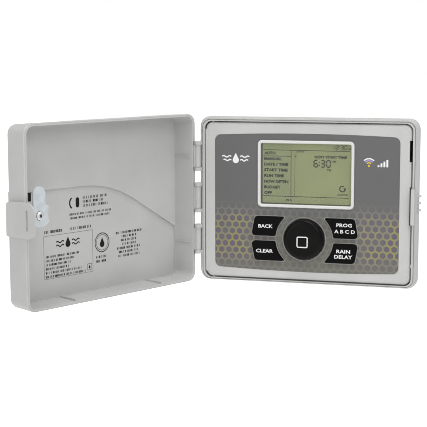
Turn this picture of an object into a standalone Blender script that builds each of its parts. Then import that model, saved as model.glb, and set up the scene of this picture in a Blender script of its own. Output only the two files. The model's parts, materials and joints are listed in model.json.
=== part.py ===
"""Wall-mounted irrigation controller: cabinet, hinged door with a cam lock, swing-out control panel.

Frame: the origin is the middle of the cabinet's back, which lies flat on the wall.
The front faces -Y, +X is to the right and +Z is up.  The door stands open and the panel is shut.
Door pieces are drawn in the door's own frame: X runs from the hinge axis to the free edge and
-Y is outwards, so the door is shut when its parent empty is not turned.
"""
import math

import bmesh
import bpy
from mathutils import Matrix, Vector

# ---- driving dimensions, metres -------------------------------------------------------------
GAP = 0.0003                    # clearance between pieces that touch
CORNER_STEPS = 6                # facets in each rounded corner
ROUND_STEPS = 20                # facets round a small cylinder

CASE_WIDTH, CASE_HEIGHT, CASE_DEPTH = 0.2638, 0.1988, 0.0750
CASE_WALL = 0.0036
CASE_FLOOR = 0.0030
BODY_WIDTH, BODY_HEIGHT = 0.2578, 0.1948        # behind the flange round the mouth
BACK_WIDTH, BACK_HEIGHT = 0.2472, 0.1908        # at the wall: the sides taper inwards
LIP_WIDTH, LIP_HEIGHT = 0.2580, 0.1956
LIP_DEPTH = 0.0040
MOUTH_WIDTH, MOUTH_HEIGHT, MOUTH_Z = 0.2497, 0.1897, -0.0007
FRONT = -CASE_DEPTH             # plane of the cabinet's lip
FLANGE_BACK = FRONT + 0.0125    # back of the flange round the mouth

DOOR_OPEN = math.radians(115.5)
HINGE_X, HINGE_Y = -0.1336, FRONT
DOOR_NEAR, DOOR_FAR = 0.0010, 0.2665
DOOR_HEIGHT, DOOR_Z = 0.2030, 0.0010
DOOR_RIM = 0.0033               # rim plane, outwards from the hinge axis
DOOR_FACE = 0.0332              # outer face of the upper field
DOOR_BULGE = 0.0024             # how far the lower field stands out
DOOR_SKIN = 0.0026
DOOR_DRAFT = 0.0015
DOOR_ROUND = 0.0022             # rounding of the upper field's outer edge
BULGE_ROUND = 0.0040            # rounding of the lower field's outer edge
RIM_FACE = 0.0030
RIM_FACE_HINGE = 0.0056

HINGE_PITCH, HINGE_MID_Z = 0.0504, 0.0014
HINGE_SPAN, ARM_HEIGHT = 0.0360, 0.0043
ARM_RADIUS, KNUCKLE_RADIUS, PIN_RADIUS = 0.0046, 0.0034, 0.0015
KNUCKLE_ROOM = 0.0018           # free width between a knuckle and its pocket in the cabinet

LOCK_U, LOCK_Z = 0.2480, 0.0038
CAM_NEAR, CAM_FAR = 0.0012, 0.0032      # the cam plate's two faces, outwards from the hinge axis
PAD_FACE = 0.2710
TAB_THICK = 0.0022
TAB_REACH = 0.0165              # how far the tab laps the cabinet's side

SWOOSH_Z, SWOOSH_START, SWOOSH_RADIUS = 0.0265, 0.160, 0.165
SWOOSH_TURN = math.radians(30)

PANEL_WIDTH, PANEL_HEIGHT, PANEL_Z = 0.2475, 0.1875, -0.0007
PANEL_FACE = FRONT + 0.0010
PANEL_PLATE = 0.0030
PANEL_SKIRT = 0.0050
PANEL_AXIS = (-0.1150, -0.0705)
LABEL_RECESS = 0.0008
LABEL_WIDTH, LABEL_HEIGHT, LABEL_X, LABEL_Z = 0.2219, 0.1592, -0.0010, -0.0019
LABEL_BOW = 0.0027
COVER_WIDTH, COVER_HEIGHT, COVER_BACK = 0.2260, 0.1700, -0.0500

SCREEN_X, SCREEN_Z = -0.0010, 0.0325
FRAME_WIDTH, FRAME_HEIGHT = 0.1160, 0.0797
WINDOW_WIDTH, WINDOW_HEIGHT = 0.1090, 0.0725
DIAL_X, DIAL_Z, DIAL_RADIUS, DIAL_TOP = -0.0022, -0.0448, 0.0247, 0.0088
KEY_X, KEY_Z = -0.0022, -0.0453
KEY_ARC = 0.0356
KEY_RISE, KEY_FIT = 0.0030, 0.0004
BOARD_FRONT, BOARD_THICK = -0.0666, 0.0016


# ---- scene ----------------------------------------------------------------------------------
def clear_scene():
    for thing in list(bpy.data.objects):
        bpy.data.objects.remove(thing, do_unlink=True)


def collection(name):
    group = bpy.data.collections.new(name)
    bpy.context.scene.collection.children.link(group)
    return group


def paint(name, colour, roughness=0.5, metallic=0.0, alpha=1.0):
    material = bpy.data.materials.new(name)
    material.use_nodes = True
    shader = material.node_tree.nodes["Principled BSDF"]
    shader.inputs["Base Color"].default_value = (*colour, 1.0)
    shader.inputs["Roughness"].default_value = roughness
    shader.inputs["Metallic"].default_value = metallic
    shader.inputs["Alpha"].default_value = alpha
    return material


def empty_at(name, location, turn=0.0):
    axis = bpy.data.objects.new(name, None)
    axis.location = location
    axis.rotation_euler = (0.0, 0.0, turn)
    PARTS.objects.link(axis)
    return axis


def finish_object(name, bm, material, parent, smooth=32.0):
    """Turn the bmesh into an object.  Without a material it is a tool for Booleans."""
    bmesh.ops.recalc_face_normals(bm, faces=bm.faces)
    mesh = bpy.data.meshes.new(name)
    bm.to_mesh(mesh)
    bm.free()
    thing = bpy.data.objects.new(name, mesh)
    thing.parent = parent
    if material is None:
        TOOLS.objects.link(thing)
        thing.hide_render = True
        thing.display_type = "WIRE"
        return thing
    PARTS.objects.link(thing)
    mesh.materials.append(material)
    mesh.shade_smooth()
    mesh.set_sharp_from_angle(angle=math.radians(smooth))
    return thing


def boolean(target, tool, operation):
    modifier = target.modifiers.new(tool.name, "BOOLEAN")
    modifier.operation = operation
    modifier.object = tool
    modifier.solver = "EXACT"


def cut(target, *tools):
    for tool in tools:
        boolean(target, tool, "DIFFERENCE")


def join(target, *tools):
    for tool in tools:
        boolean(target, tool, "UNION")


# ---- shapes ---------------------------------------------------------------------------------
def box(name, low, high, material=None, parent=None, bevel=0.0):
    """A box between two corners, with its edges rounded when bevel is set."""
    low, high = Vector(low), Vector(high)
    bm = bmesh.new()
    bmesh.ops.create_cube(bm, size=1.0)
    bmesh.ops.scale(bm, vec=high - low, verts=bm.verts)
    bmesh.ops.translate(bm, vec=(low + high) / 2, verts=bm.verts)
    thing = finish_object(name, bm, material, parent)
    if bevel:
        rounding = thing.modifiers.new("rounding", "BEVEL")
        rounding.width = bevel
        rounding.segments = 2
    return thing


def rod(name, start, end, radius, material=None, parent=None, steps=ROUND_STEPS, end_radius=None):
    """A cylinder or cone frustum between two points."""
    start, end = Vector(start), Vector(end)
    along = end - start
    bm = bmesh.new()
    bmesh.ops.create_cone(
        bm, cap_ends=True, segments=steps, depth=along.length,
        radius1=radius, radius2=radius if end_radius is None else end_radius)
    turn = along.to_track_quat("Z", "Y").to_matrix().to_4x4()
    bmesh.ops.transform(bm, matrix=Matrix.Translation((start + end) / 2) @ turn, verts=bm.verts)
    return finish_object(name, bm, material, parent)


def turned(name, profile, centre, material, parent=None, steps=ROUND_STEPS):
    """A (radius, y) profile turned about an axis along Y: it starts and ends on the axis."""
    bm = bmesh.new()
    corners = [bm.verts.new((radius, 0.0, -y)) for radius, y in profile]
    for first, second in zip(corners, corners[1:]):
        bm.edges.new((first, second))
    mesh = bpy.data.meshes.new(name)
    bm.to_mesh(mesh)
    bm.free()
    thing = bpy.data.objects.new(name, mesh)
    thing.parent = parent
    PARTS.objects.link(thing)
    mesh.materials.append(material)
    thing.location = centre
    thing.rotation_euler = (math.radians(90), 0.0, 0.0)
    screw = thing.modifiers.new("turn", "SCREW")
    screw.steps = screw.render_steps = steps
    screw.use_merge_vertices = True
    screw.merge_threshold = 0.00001
    screw.use_smooth_shade = True
    return thing


def rounded_rectangle(width, height, radius, x=0.0, z=0.0, steps=CORNER_STEPS):
    points = []
    for quarter, (side, top) in enumerate(((1, 1), (-1, 1), (-1, -1), (1, -1))):
        corner_x = x + side * (width / 2 - radius)
        corner_z = z + top * (height / 2 - radius)
        for step in range(steps + 1):
            angle = (quarter + step / steps) * math.pi / 2
            points.append((corner_x + radius * math.cos(angle), corner_z + radius * math.sin(angle)))
    return points


def fillet(corners, steps=3):
    """Round the corners of an outline given as (x, z, radius)."""
    points = []
    for index, (x, z, radius) in enumerate(corners):
        corner = Vector((x, z))
        before = (Vector(corners[index - 1][:2]) - corner).normalized()
        after = (Vector(corners[(index + 1) % len(corners)][:2]) - corner).normalized()
        if radius == 0.0:
            points.append((x, z))
            continue
        half = before.angle(after) / 2
        reach = radius / math.tan(half)
        centre = corner + (before + after).normalized() * radius / math.sin(half)
        first, last = corner + before * reach - centre, corner + after * reach - centre
        for step in range(steps + 1):
            points.append(tuple(centre + first.slerp(last, step / steps).normalized() * radius))
    return points


def prism(name, outline, y_front, y_back, material=None, parent=None, bevel=0.0):
    """An (x, z) outline extruded along Y."""
    bm = bmesh.new()
    face = bm.faces.new([bm.verts.new((x, y_front, z)) for x, z in outline])
    pushed = bmesh.ops.extrude_face_region(bm, geom=[face])
    verts = [item for item in pushed["geom"] if isinstance(item, bmesh.types.BMVert)]
    bmesh.ops.translate(bm, vec=(0.0, y_back - y_front, 0.0), verts=verts)
    if bevel:
        bm.normal_update()
        rim = [edge for edge in bm.edges if all(vert.co.y == verts[0].co.y for vert in edge.verts)]
        bmesh.ops.bevel(bm, geom=rim, offset=bevel, segments=2, profile=0.5, affect="EDGES")
    return finish_object(name, bm, material, parent)


def bezier(start, first, second, end, steps=14):
    """Points along a cubic Bezier curve."""
    points = []
    for step in range(steps + 1):
        t = step / steps
        weights = ((1 - t) ** 3, 3 * t * (1 - t) ** 2, 3 * t * t * (1 - t), t ** 3)
        pulls = list(zip(weights, (start, first, second, end)))
        points.append(tuple(sum(weight * point[axis] for weight, point in pulls) for axis in (0, 1)))
    return points


def strip(name, route, thickness, low_z, high_z, material, parent=None):
    """A flat ribbon that stands on edge and follows an (x, y) route."""
    points = [Vector(point) for point in route]
    near, far = [], []
    for index, point in enumerate(points):
        ahead = (points[min(index + 1, len(points) - 1)] - points[max(index - 1, 0)]).normalized()
        side = Vector((-ahead.y, ahead.x)) * thickness / 2
        near.append(point + side)
        far.append(point - side)
    bm = bmesh.new()
    face = bm.faces.new([bm.verts.new((x, y, low_z)) for x, y in near + far[::-1]])
    pushed = bmesh.ops.extrude_face_region(bm, geom=[face])
    verts = [item for item in pushed["geom"] if isinstance(item, bmesh.types.BMVert)]
    bmesh.ops.translate(bm, vec=(0.0, 0.0, high_z - low_z), verts=verts)
    return finish_object(name, bm, material, parent)


def loft(name, rings, material=None, parent=None, closed=False):
    """Skin a stack of (outline, y) sections.  A closed one goes round; an open one gets end caps."""
    bm = bmesh.new()
    loops = [[bm.verts.new((x, y, z)) for x, z in outline] for outline, y in rings]
    pairs = list(zip(loops, loops[1:]))
    if closed:
        pairs.append((loops[-1], loops[0]))
    for lower, upper in pairs:
        for index in range(len(lower)):
            bm.faces.new((lower[index - 1], lower[index], upper[index], upper[index - 1]))
    if not closed:
        bm.faces.new(loops[0])
        bm.faces.new(loops[-1])
    return finish_object(name, bm, material, parent)


def cross_recess(name, centre, out, reach, half_width, depth, parent, twist):
    """A plus-shaped cutter that sinks into a screw head, turned by `twist` about the screw."""
    quarter = [(reach, -half_width), (reach, half_width), (half_width, half_width)]
    outline = [Matrix.Rotation(math.pi / 2 * turn + twist, 2) @ Vector(point)
               for turn in range(4) for point in quarter]
    bm = bmesh.new()
    face = bm.faces.new([bm.verts.new((x, y, -depth)) for x, y in outline])
    pushed = bmesh.ops.extrude_face_region(bm, geom=[face])
    verts = [item for item in pushed["geom"] if isinstance(item, bmesh.types.BMVert)]
    bmesh.ops.translate(bm, vec=(0.0, 0.0, depth * 2), verts=verts)
    turn = out.to_track_quat("Z", "Y").to_matrix().to_4x4()
    bmesh.ops.transform(bm, matrix=Matrix.Translation(centre) @ turn, verts=bm.verts)
    return finish_object(name, bm, None, parent)


def screw(name, head, tip, head_radius, head_height, shank_radius, material, parent=None, twist=0.0):
    """A pan-head screw whose head seats at `head`, with a cross recess."""
    head, tip = Vector(head), Vector(tip)
    out = (head - tip).normalized()
    piece = rod(name, head + out * head_height, head, head_radius * 0.72, material, parent,
                end_radius=head_radius)
    join(piece, rod(f"{name}_shank", head + out * head_height * 0.5, tip, shank_radius, None, parent, 12))
    cut(piece, cross_recess(f"{name}_recess", head + out * head_height, out, head_radius * 0.55,
                            head_radius * 0.14, head_height * 0.7, parent, twist))
    return piece


# ---- cabinet --------------------------------------------------------------------------------
def cabinet_rings():
    """The shell's skin, from the back over the flange and lip to the inside of the floor."""
    def section(width, height, radius, y, z=0.0):
        return rounded_rectangle(width, height, radius, z=z), y

    mouth = (MOUTH_WIDTH, MOUTH_HEIGHT, 0.0088)
    inner = (CASE_WIDTH - 2 * CASE_WALL, CASE_HEIGHT - 2 * CASE_WALL)
    return [
        section(BACK_WIDTH - 0.0028, BACK_HEIGHT - 0.0028, 0.0090, 0.0),
        section(BACK_WIDTH, BACK_HEIGHT, 0.0104, -0.0015),
        section(BODY_WIDTH, BODY_HEIGHT, 0.0106, FLANGE_BACK + 0.0010),
        section(CASE_WIDTH - 0.0012, CASE_HEIGHT - 0.0012, 0.0119, FLANGE_BACK),
        section(CASE_WIDTH, CASE_HEIGHT, 0.0125, FLANGE_BACK - 0.0006),
        section(CASE_WIDTH, CASE_HEIGHT, 0.0125, FRONT + 0.0062),
        section(CASE_WIDTH - 0.0010, CASE_HEIGHT - 0.0006, 0.0122, FRONT + 0.0046),
        section(LIP_WIDTH, LIP_HEIGHT, 0.0105, FRONT + 0.0012),
        section(LIP_WIDTH - 0.0008, LIP_HEIGHT - 0.0006, 0.0101, FRONT),
        section(0.2560, 0.1936, 0.0098, FRONT, -0.0003),
        section(0.2558, 0.1934, 0.0097, FRONT + 0.0014, -0.0003),
        section(0.2541, 0.1920, 0.0094, FRONT + 0.0014, -0.0005),
        section(0.2539, 0.1918, 0.0093, FRONT, -0.0005),
        section(*mouth, FRONT, MOUTH_Z),
        section(*mouth, FRONT + LIP_DEPTH, MOUTH_Z),
        section(*inner, 0.0095, FRONT + LIP_DEPTH + 0.0012),
        section(*inner, 0.0095, FLANGE_BACK - 0.0040),
        section(BODY_WIDTH - 2 * CASE_WALL, inner[1] - 0.0016, 0.0090, FLANGE_BACK - 0.0010),
        section(BACK_WIDTH - 2 * CASE_WALL, BACK_HEIGHT - 2 * CASE_WALL, 0.0080, -CASE_FLOOR),
    ]


def hinge_sets():
    """The middle height of each of the three hinge sets."""
    return [HINGE_MID_Z + HINGE_PITCH * number for number in (1, 0, -1)]


def hinge_arms(cabinet):
    """Two arms per hinge set, a pocket behind each knuckle, and the pin holes."""
    for number, middle in enumerate(hinge_sets()):
        for end in (1, -1):
            low = middle + end * (HINGE_SPAN / 2) - (ARM_HEIGHT if end > 0 else 0.0)
            high = low + ARM_HEIGHT
            arm = rod(f"arm_{number}_{end}", (HINGE_X, HINGE_Y, low), (HINGE_X, HINGE_Y, high),
                      ARM_RADIUS)
            root = box(f"arm_root_{number}_{end}", (HINGE_X, HINGE_Y - 0.0002, low + 0.00002),
                       (-LIP_WIDTH / 2 + 0.0012, HINGE_Y + ARM_RADIUS - 0.0002, high - 0.00002))
            join(cabinet, arm, root)
        reach = HINGE_SPAN / 2 - ARM_HEIGHT
        cut(cabinet, rod(f"knuckle_pocket_{number}", (HINGE_X, HINGE_Y, middle - reach),
                         (HINGE_X, HINGE_Y, middle + reach), KNUCKLE_RADIUS + KNUCKLE_ROOM))
        cut(cabinet, rod(f"pin_hole_{number}", (HINGE_X, HINGE_Y, middle - HINGE_SPAN / 2 - 0.001),
                         (HINGE_X, HINGE_Y, middle + HINGE_SPAN / 2 + 0.001), PIN_RADIUS + GAP, steps=16))


def latch_catch(cabinet):
    """A raised catch on the lip for the lock's cam, and three grip ribs on the side wall."""
    low_z, high_z = -0.0228, 0.0191
    edge = 0.1239                       # inner edge of the overhang
    post_in, post_out = 0.1271, 0.1281
    top, under = FRONT - 0.0054, FRONT - 0.0037
    join(cabinet,
         box("catch_post", (post_in, top + 0.0001, low_z), (post_out, FRONT + 0.0020, high_z)),
         box("catch_roof", (edge, top, low_z + 0.0001), (post_out - 0.0001, under, high_z - 0.0001)),
         box("catch_foot", (0.1236, FRONT - 0.0003, low_z), (post_out - 0.0002, FRONT + 0.0035, high_z)))
    for number, middle in enumerate((0.0106, 0.0024, -0.0059)):
        join(cabinet, box(f"grip_rib_{number}", (0.1275, FRONT + 0.0023, middle - 0.0011),
                          (0.1349, FRONT + 0.0063, middle + 0.0011)))


def wall_openings(cabinet):
    """Keyhole and screw holes in the back, a pad with the conduit holes and a drain notch below."""
    through = (-CASE_FLOOR - 0.001, 0.001)
    cut(cabinet,
        rod("keyhole_head", (0.0, through[0], 0.066), (0.0, through[1], 0.066), 0.0050),
        box("keyhole_slot", (-0.0025, through[0], 0.066), (0.0025, through[1], 0.0785)))
    for side in (-1, 1):
        cut(cabinet, rod(f"wall_screw_hole_{side}", (side * 0.114, through[0], -0.084),
                         (side * 0.114, through[1], -0.084), 0.0026))
    join(cabinet, box("conduit_pad", (-0.0345, -0.0530, -CASE_HEIGHT / 2), (0.0565, -0.0190, -0.0935)))
    bottom = (-CASE_HEIGHT / 2 - 0.001, -CASE_HEIGHT / 2 + 0.0085)
    cut(cabinet,
        rod("conduit_hole", (0.040, -0.036, bottom[0]), (0.040, -0.036, bottom[1]), 0.0140),
        rod("knockout_hole", (-0.020, -0.036, bottom[0]), (-0.020, -0.036, bottom[1]), 0.0110),
        box("drain_notch", (0.1043, FRONT - 0.001, -0.1000), (0.1131, FRONT + 0.0022, -0.0968)))


def floor_posts(cabinet):
    """Hollow posts on the floor for the terminal board and the transformer cover."""
    for name, x, z, top in POSTS:
        join(cabinet, rod(f"post_{name}", (x, -CASE_FLOOR + 0.001, z), (x, top, z), 0.0034, steps=16))
        cut(cabinet, rod(f"pilot_{name}", (x, -CASE_FLOOR - 0.0005, z), (x, top - 0.001, z), 0.0017,
                         steps=12))


def panel_sockets(cabinet):
    """Sockets in the lip for the two pins that the panel swings on."""
    x, y = PANEL_AXIS
    for name, low, high in (("top", 0.0900, 0.0965), ("bottom", -0.0980, -0.0900)):
        cut(cabinet, rod(f"panel_socket_{name}", (x, y, low), (x, y, high), PIN_RADIUS + GAP, steps=16))


def build_cabinet():
    cabinet = loft("cabinet_shell", cabinet_rings(), SHELL)
    lug_x, lug_y = PANEL_AXIS
    for name, low, high in (("top", 0.0938, 0.0975), ("bottom", -0.0978, -0.0953)):
        join(cabinet, box(f"pin_lug_{name}", (lug_x - 0.0040, lug_y - 0.0035, low),
                          (lug_x + 0.0040, lug_y + 0.0040, high)))
    hinge_arms(cabinet)
    latch_catch(cabinet)
    wall_openings(cabinet)
    floor_posts(cabinet)
    panel_sockets(cabinet)
    for number, middle in enumerate(hinge_sets()):
        reach = HINGE_SPAN / 2 - GAP
        rod(f"door_hinge_pin_{('top', 'middle', 'bottom')[number]}", (HINGE_X, HINGE_Y, middle - reach),
            (HINGE_X, HINGE_Y, middle + reach), PIN_RADIUS, SHELL, steps=16)
    rod("panel_pin_top", (lug_x, lug_y, 0.0860), (lug_x, lug_y, 0.0962), PIN_RADIUS, STEEL, steps=16)
    rod("panel_pin_bottom", (lug_x, lug_y, -0.0977), (lug_x, lug_y, -0.0874), PIN_RADIUS, STEEL, steps=16)


def ring_piece(name, x, y, low, high, outer, inner, flange, material, blind=False):
    """A bush that sits in a hole of the bottom wall, with a flange outside."""
    outside = -CASE_HEIGHT / 2 - GAP
    piece = rod(name, (x, y, outside - flange), (x, y, high), outer, material)
    join(piece, rod(f"{name}_flange", (x, y, outside - flange - 0.00002), (x, y, outside), outer + 0.0025))
    start = outside - flange + 0.001 if blind else low - 0.001
    cut(piece, rod(f"{name}_bore", (x, y, start), (x, y, high + 0.001), inner))
    return piece


def build_wiring():
    """Transformer, its cover, the terminal board and what is on it."""
    base = -CASE_FLOOR
    # laminated core: three legs round two windows, with the coil on the middle leg
    left, right, low, high = -0.098, -0.050, -0.072, -0.032
    middle = (left + right) / 2
    core = box("transformer_core", (left, -0.0290, low), (right, -0.0110, high), CORE, bevel=0.0008)
    for side in (-1, 1):
        window = middle + side * 0.0120
        cut(core, box(f"core_window_{side}", (window - 0.0040, -0.031, low + 0.0080),
                      (window + 0.0040, -0.009, high - 0.0080)))
        inner, outer = middle + side * 0.0170, middle + side * 0.0235
        join(core, box(f"core_foot_{side}", (min(inner, outer), -0.0116, low + 0.0040),
                       (max(inner, outer), base - GAP, high - 0.0040)))
    coil = box("transformer_winding", (middle - 0.0153, -0.0345, low + 0.0086),
               (middle + 0.0153, -0.0055, high - 0.0086), COPPER, bevel=0.0022)
    cut(coil, box("winding_bore", (middle - 0.0083, -0.0293, low), (middle + 0.0083, -0.0107, high)))

    cover = loft("transformer_cover", [
        (rounded_rectangle(0.0580, 0.0500, 0.0030, middle, -0.052, 3), -0.0400),
        (rounded_rectangle(0.0600, 0.0520, 0.0040, middle, -0.052, 3), -0.0390),
        (rounded_rectangle(0.0612, 0.0532, 0.0040, middle, -0.052, 3), base - GAP),
        (rounded_rectangle(0.0580, 0.0500, 0.0030, middle, -0.052, 3), base - GAP),
        (rounded_rectangle(0.0568, 0.0488, 0.0030, middle, -0.052, 3), -0.0384)], COVER)
    for side, (post_x, post_z) in enumerate(COVER_POSTS):
        top = -0.0090
        wall = middle + math.copysign(0.0298, post_x - middle)
        tip = post_x + math.copysign(0.0050, post_x - middle)
        join(cover, box(f"cover_ear_{side}", (min(wall, tip), top - 0.0018, post_z - 0.0050),
                        (max(wall, tip), top - GAP, post_z + 0.0050)))
        cut(cover, rod(f"cover_ear_hole_{side}", (post_x, top - 0.004, post_z), (post_x, base, post_z),
                       0.0018, steps=12))
        screw(f"transformer_cover_screw_{side + 1}", (post_x, top - 0.0018 - GAP, post_z),
              (post_x, base - 0.0008, post_z), 0.0031, 0.0018, 0.0014, STEEL)
    for slot in range(4):
        z = -0.066 + slot * 0.009
        cut(cover, box(f"cover_vent_{slot}", (middle - 0.016, -0.042, z),
                       (middle + 0.016, -0.037, z + 0.003)))

    board_front = BOARD_TOP - 0.0016
    board = box("terminal_board", (TERMINAL_LEFT, board_front, -0.078), (TERMINAL_RIGHT, BOARD_TOP, -0.034),
                CIRCUIT)
    for number, (name, x, z, _top) in enumerate(POSTS[:4]):
        cut(board, rod(f"board_hole_{number}", (x, board_front - 0.001, z), (x, BOARD_TOP + 0.001, z),
                       0.0018, steps=12))
        screw(f"terminal_board_screw_{number + 1}", (x, board_front - GAP, z), (x, base - 0.0008, z),
              0.0029, 0.0018, 0.0014, STEEL)

    # screw terminals: a row of clamp screws on the step and wire mouths facing down
    block_left, pitch, ways = -0.008, 0.0076, 14
    block_right = block_left + pitch * ways
    block = box("terminal_block", (block_left, board_front - GAP - 0.0105, -0.0690),
                (block_right, board_front - GAP, -0.0550), TERMINAL, bevel=0.0006)
    join(block, box("terminal_step", (block_left + 0.0010, board_front - 0.0165, -0.0604),
                    (block_right - 0.0010, board_front - 0.0060, -0.0562)))
    for way in range(ways):
        x = block_left + pitch * (way + 0.5)
        cut(block, rod(f"clamp_well_{way}", (x, board_front - 0.0125, -0.0645),
                       (x, board_front - 0.0080, -0.0645), 0.0024, steps=8),
            box(f"wire_mouth_{way}", (x - 0.0019, board_front - 0.0066, -0.0700),
                (x + 0.0019, board_front - 0.0028, -0.0630)))

    connector_face = board_front - 0.0085
    box("board_connector", (-0.0210, connector_face, -0.0600), (-0.0110, board_front - GAP, -0.0340),
        WHITE, bevel=0.0005)
    # the ribbon leaves the terminal board, turns back on itself and runs on to the panel
    turn, run = (0.0040, -0.0360), (-0.0450, -0.0445)
    ribbon_route = bezier((-0.0160, connector_face - GAP), (-0.0160, -0.0320), (0.0040, -0.0240), turn)
    ribbon_route += bezier(turn, (0.0040, -0.0480), (-0.0200, -0.0445), run)[1:]
    ribbon_route += bezier(run, (-0.0750, -0.0445), (-0.0900, -0.0430),
                           (-0.0900, COVER_BACK - 0.0026 + GAP))[1:]
    strip("ribbon_cable", ribbon_route, 0.0010, -0.0540, -0.0340, RIBBON)
    ring_piece("conduit_grommet", 0.040, -0.036, -0.1010, -0.0915, 0.0137, 0.0112, 0.0014, RUBBER)
    ring_piece("knockout_plug", -0.020, -0.036, -0.1010, -0.0930, 0.0107, 0.0090, 0.0012, SHELL, blind=True)


# ---- door -----------------------------------------------------------------------------------
def door_outline(inset, hinge_extra=0.0, radius=0.0120):
    """The door's outline, drawn in from its rim; the hinge side may be drawn in further."""
    near, far = DOOR_NEAR + inset + hinge_extra, DOOR_FAR - inset
    return rounded_rectangle(far - near, DOOR_HEIGHT - 2 * inset, max(radius - inset, 0.0045),
                             (near + far) / 2, DOOR_Z)


def swoosh_area(lift=0.0):
    """The field below the curved step: level, then an arc, then straight down to the hinge side."""
    level = SWOOSH_Z + lift
    points = [(0.285, level)]
    for step in range(9):
        angle = SWOOSH_TURN * step / 8
        points.append((SWOOSH_START - SWOOSH_RADIUS * math.sin(angle),
                       level - SWOOSH_RADIUS * (1 - math.cos(angle))))
    last_u, last_z = points[-1]
    points.append((-0.010, last_z - (last_u + 0.010) * math.tan(SWOOSH_TURN)))
    return points + [(-0.010, -0.120), (0.285, -0.120)]


def build_door():
    hinge = RIM_FACE_HINGE - RIM_FACE
    floor = DOOR_FACE - DOOR_SKIN
    door = loft("door_shell", [
        (door_outline(DOOR_DRAFT + DOOR_ROUND), -DOOR_FACE),
        (door_outline(DOOR_DRAFT + DOOR_ROUND * 0.30), -DOOR_FACE + DOOR_ROUND * 0.30),
        (door_outline(DOOR_DRAFT), -DOOR_FACE + DOOR_ROUND),
        (door_outline(0.0), -DOOR_RIM - 0.0010),
        (door_outline(0.0005), -DOOR_RIM),
        (door_outline(RIM_FACE - 0.0013, hinge), -DOOR_RIM),
        (door_outline(RIM_FACE - 0.0011, hinge), -DOOR_RIM + 0.0010),
        (door_outline(RIM_FACE - 0.0002, hinge), -DOOR_RIM + 0.0010),
        (door_outline(RIM_FACE, hinge), -DOOR_RIM + 0.0006),
        (door_outline(RIM_FACE + 0.0016, hinge), -floor)], SHELL, DOOR_AXIS)

    bulge = loft("bulge", [
        (door_outline(DOOR_DRAFT + BULGE_ROUND), -DOOR_FACE - DOOR_BULGE),
        (door_outline(DOOR_DRAFT + BULGE_ROUND * 0.30), -DOOR_FACE - DOOR_BULGE + BULGE_ROUND * 0.30),
        (door_outline(DOOR_DRAFT - 0.00005), -DOOR_FACE - DOOR_BULGE + BULGE_ROUND),
        (door_outline(DOOR_DRAFT - 0.00005), -DOOR_FACE + DOOR_ROUND - 0.00005)], None, DOOR_AXIS)
    boolean(bulge, prism("bulge_area", swoosh_area(0.0022), -0.050, -0.010, None, DOOR_AXIS), "INTERSECT")
    pocket = loft("pocket", [
        (door_outline(RIM_FACE + 0.0021, hinge), -floor - DOOR_BULGE),
        (door_outline(RIM_FACE + 0.0021, hinge), -floor + 0.0010)], None, DOOR_AXIS)
    boolean(pocket, prism("pocket_area", swoosh_area(), -0.050, -0.010, None, DOOR_AXIS), "INTERSECT")
    join(door, bulge)
    cut(door, pocket)
    door_hinge(door)
    door_tab(door)
    door_ribs(door, floor)
    cut(door, rod("lock_hole", (LOCK_U, -0.040, LOCK_Z), (LOCK_U, -0.020, LOCK_Z), 0.0093, None, DOOR_AXIS))


def door_hinge(door):
    """Notches for the cabinet's arms, and a bored knuckle on a web for each hinge set."""
    for number, middle in enumerate(hinge_sets()):
        reach = HINGE_SPAN / 2 - ARM_HEIGHT - GAP
        web = box(f"web_{number}", (-0.0005, -DOOR_RIM - 0.0024, middle - reach + 0.00002),
                  (0.0050, -0.0012, middle + reach - 0.00002), None, DOOR_AXIS)
        knuckle = rod(f"knuckle_{number}", (0.0, 0.0, middle - reach), (0.0, 0.0, middle + reach),
                      KNUCKLE_RADIUS, None, DOOR_AXIS)
        join(door, web, knuckle)
        for end in (1, -1):
            centre = middle + end * (HINGE_SPAN / 2 - ARM_HEIGHT / 2)
            half = ARM_HEIGHT / 2 + GAP * 0.9
            cut(door, rod(f"notch_{number}_{end}", (0.0, 0.0, centre - half), (0.0, 0.0, centre + half),
                          ARM_RADIUS + 0.0007, None, DOOR_AXIS))
        cut(door, rod(f"knuckle_bore_{number}", (0.0, 0.0, middle - reach - 0.001),
                      (0.0, 0.0, middle + reach + 0.001), PIN_RADIUS + GAP, None, DOOR_AXIS, 16))


def side_plate(name, outline, inner_u, outer_u):
    """An outline of (outwards, height) on the free-end wall, extruded along the door's width."""
    tool = prism(name, outline, inner_u, outer_u, None, DOOR_AXIS)
    # the prism is drawn along Y: swap so that its depth runs along X and the outline along -Y
    tool.data.transform(Matrix(((0, 1, 0, 0), (-1, 0, 0, 0), (0, 0, 1, 0), (0, 0, 0, 1))))
    return tool


def door_tab(door):
    """The raised pad on the free-end wall, and the tab that laps the cabinet's side."""
    low, high = -0.0184, 0.0204
    pad = side_plate("pad", fillet([(0.0302, low, 0.0020), (0.0302, high - 0.0018, 0.0040),
                                    (DOOR_RIM - 0.0002, high, 0.0), (DOOR_RIM - 0.0002, low, 0.0)]),
                     DOOR_FAR - 0.0043, PAD_FACE)
    tab = side_plate("tab", fillet([(0.0100, low + 0.0002, 0.0), (0.0100, high - 0.0008, 0.0),
                                    (-TAB_REACH, high, 0.0120), (-TAB_REACH, low, 0.0110)], 6),
                     PAD_FACE - TAB_THICK, PAD_FACE - 0.00002)
    slot = box("tab_slot", (PAD_FACE - 0.004, 0.0027, -0.0097), (PAD_FACE + 0.001, 0.0060, 0.0123),
               None, DOOR_AXIS)
    join(door, pad, tab)
    cut(door, slot)


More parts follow.
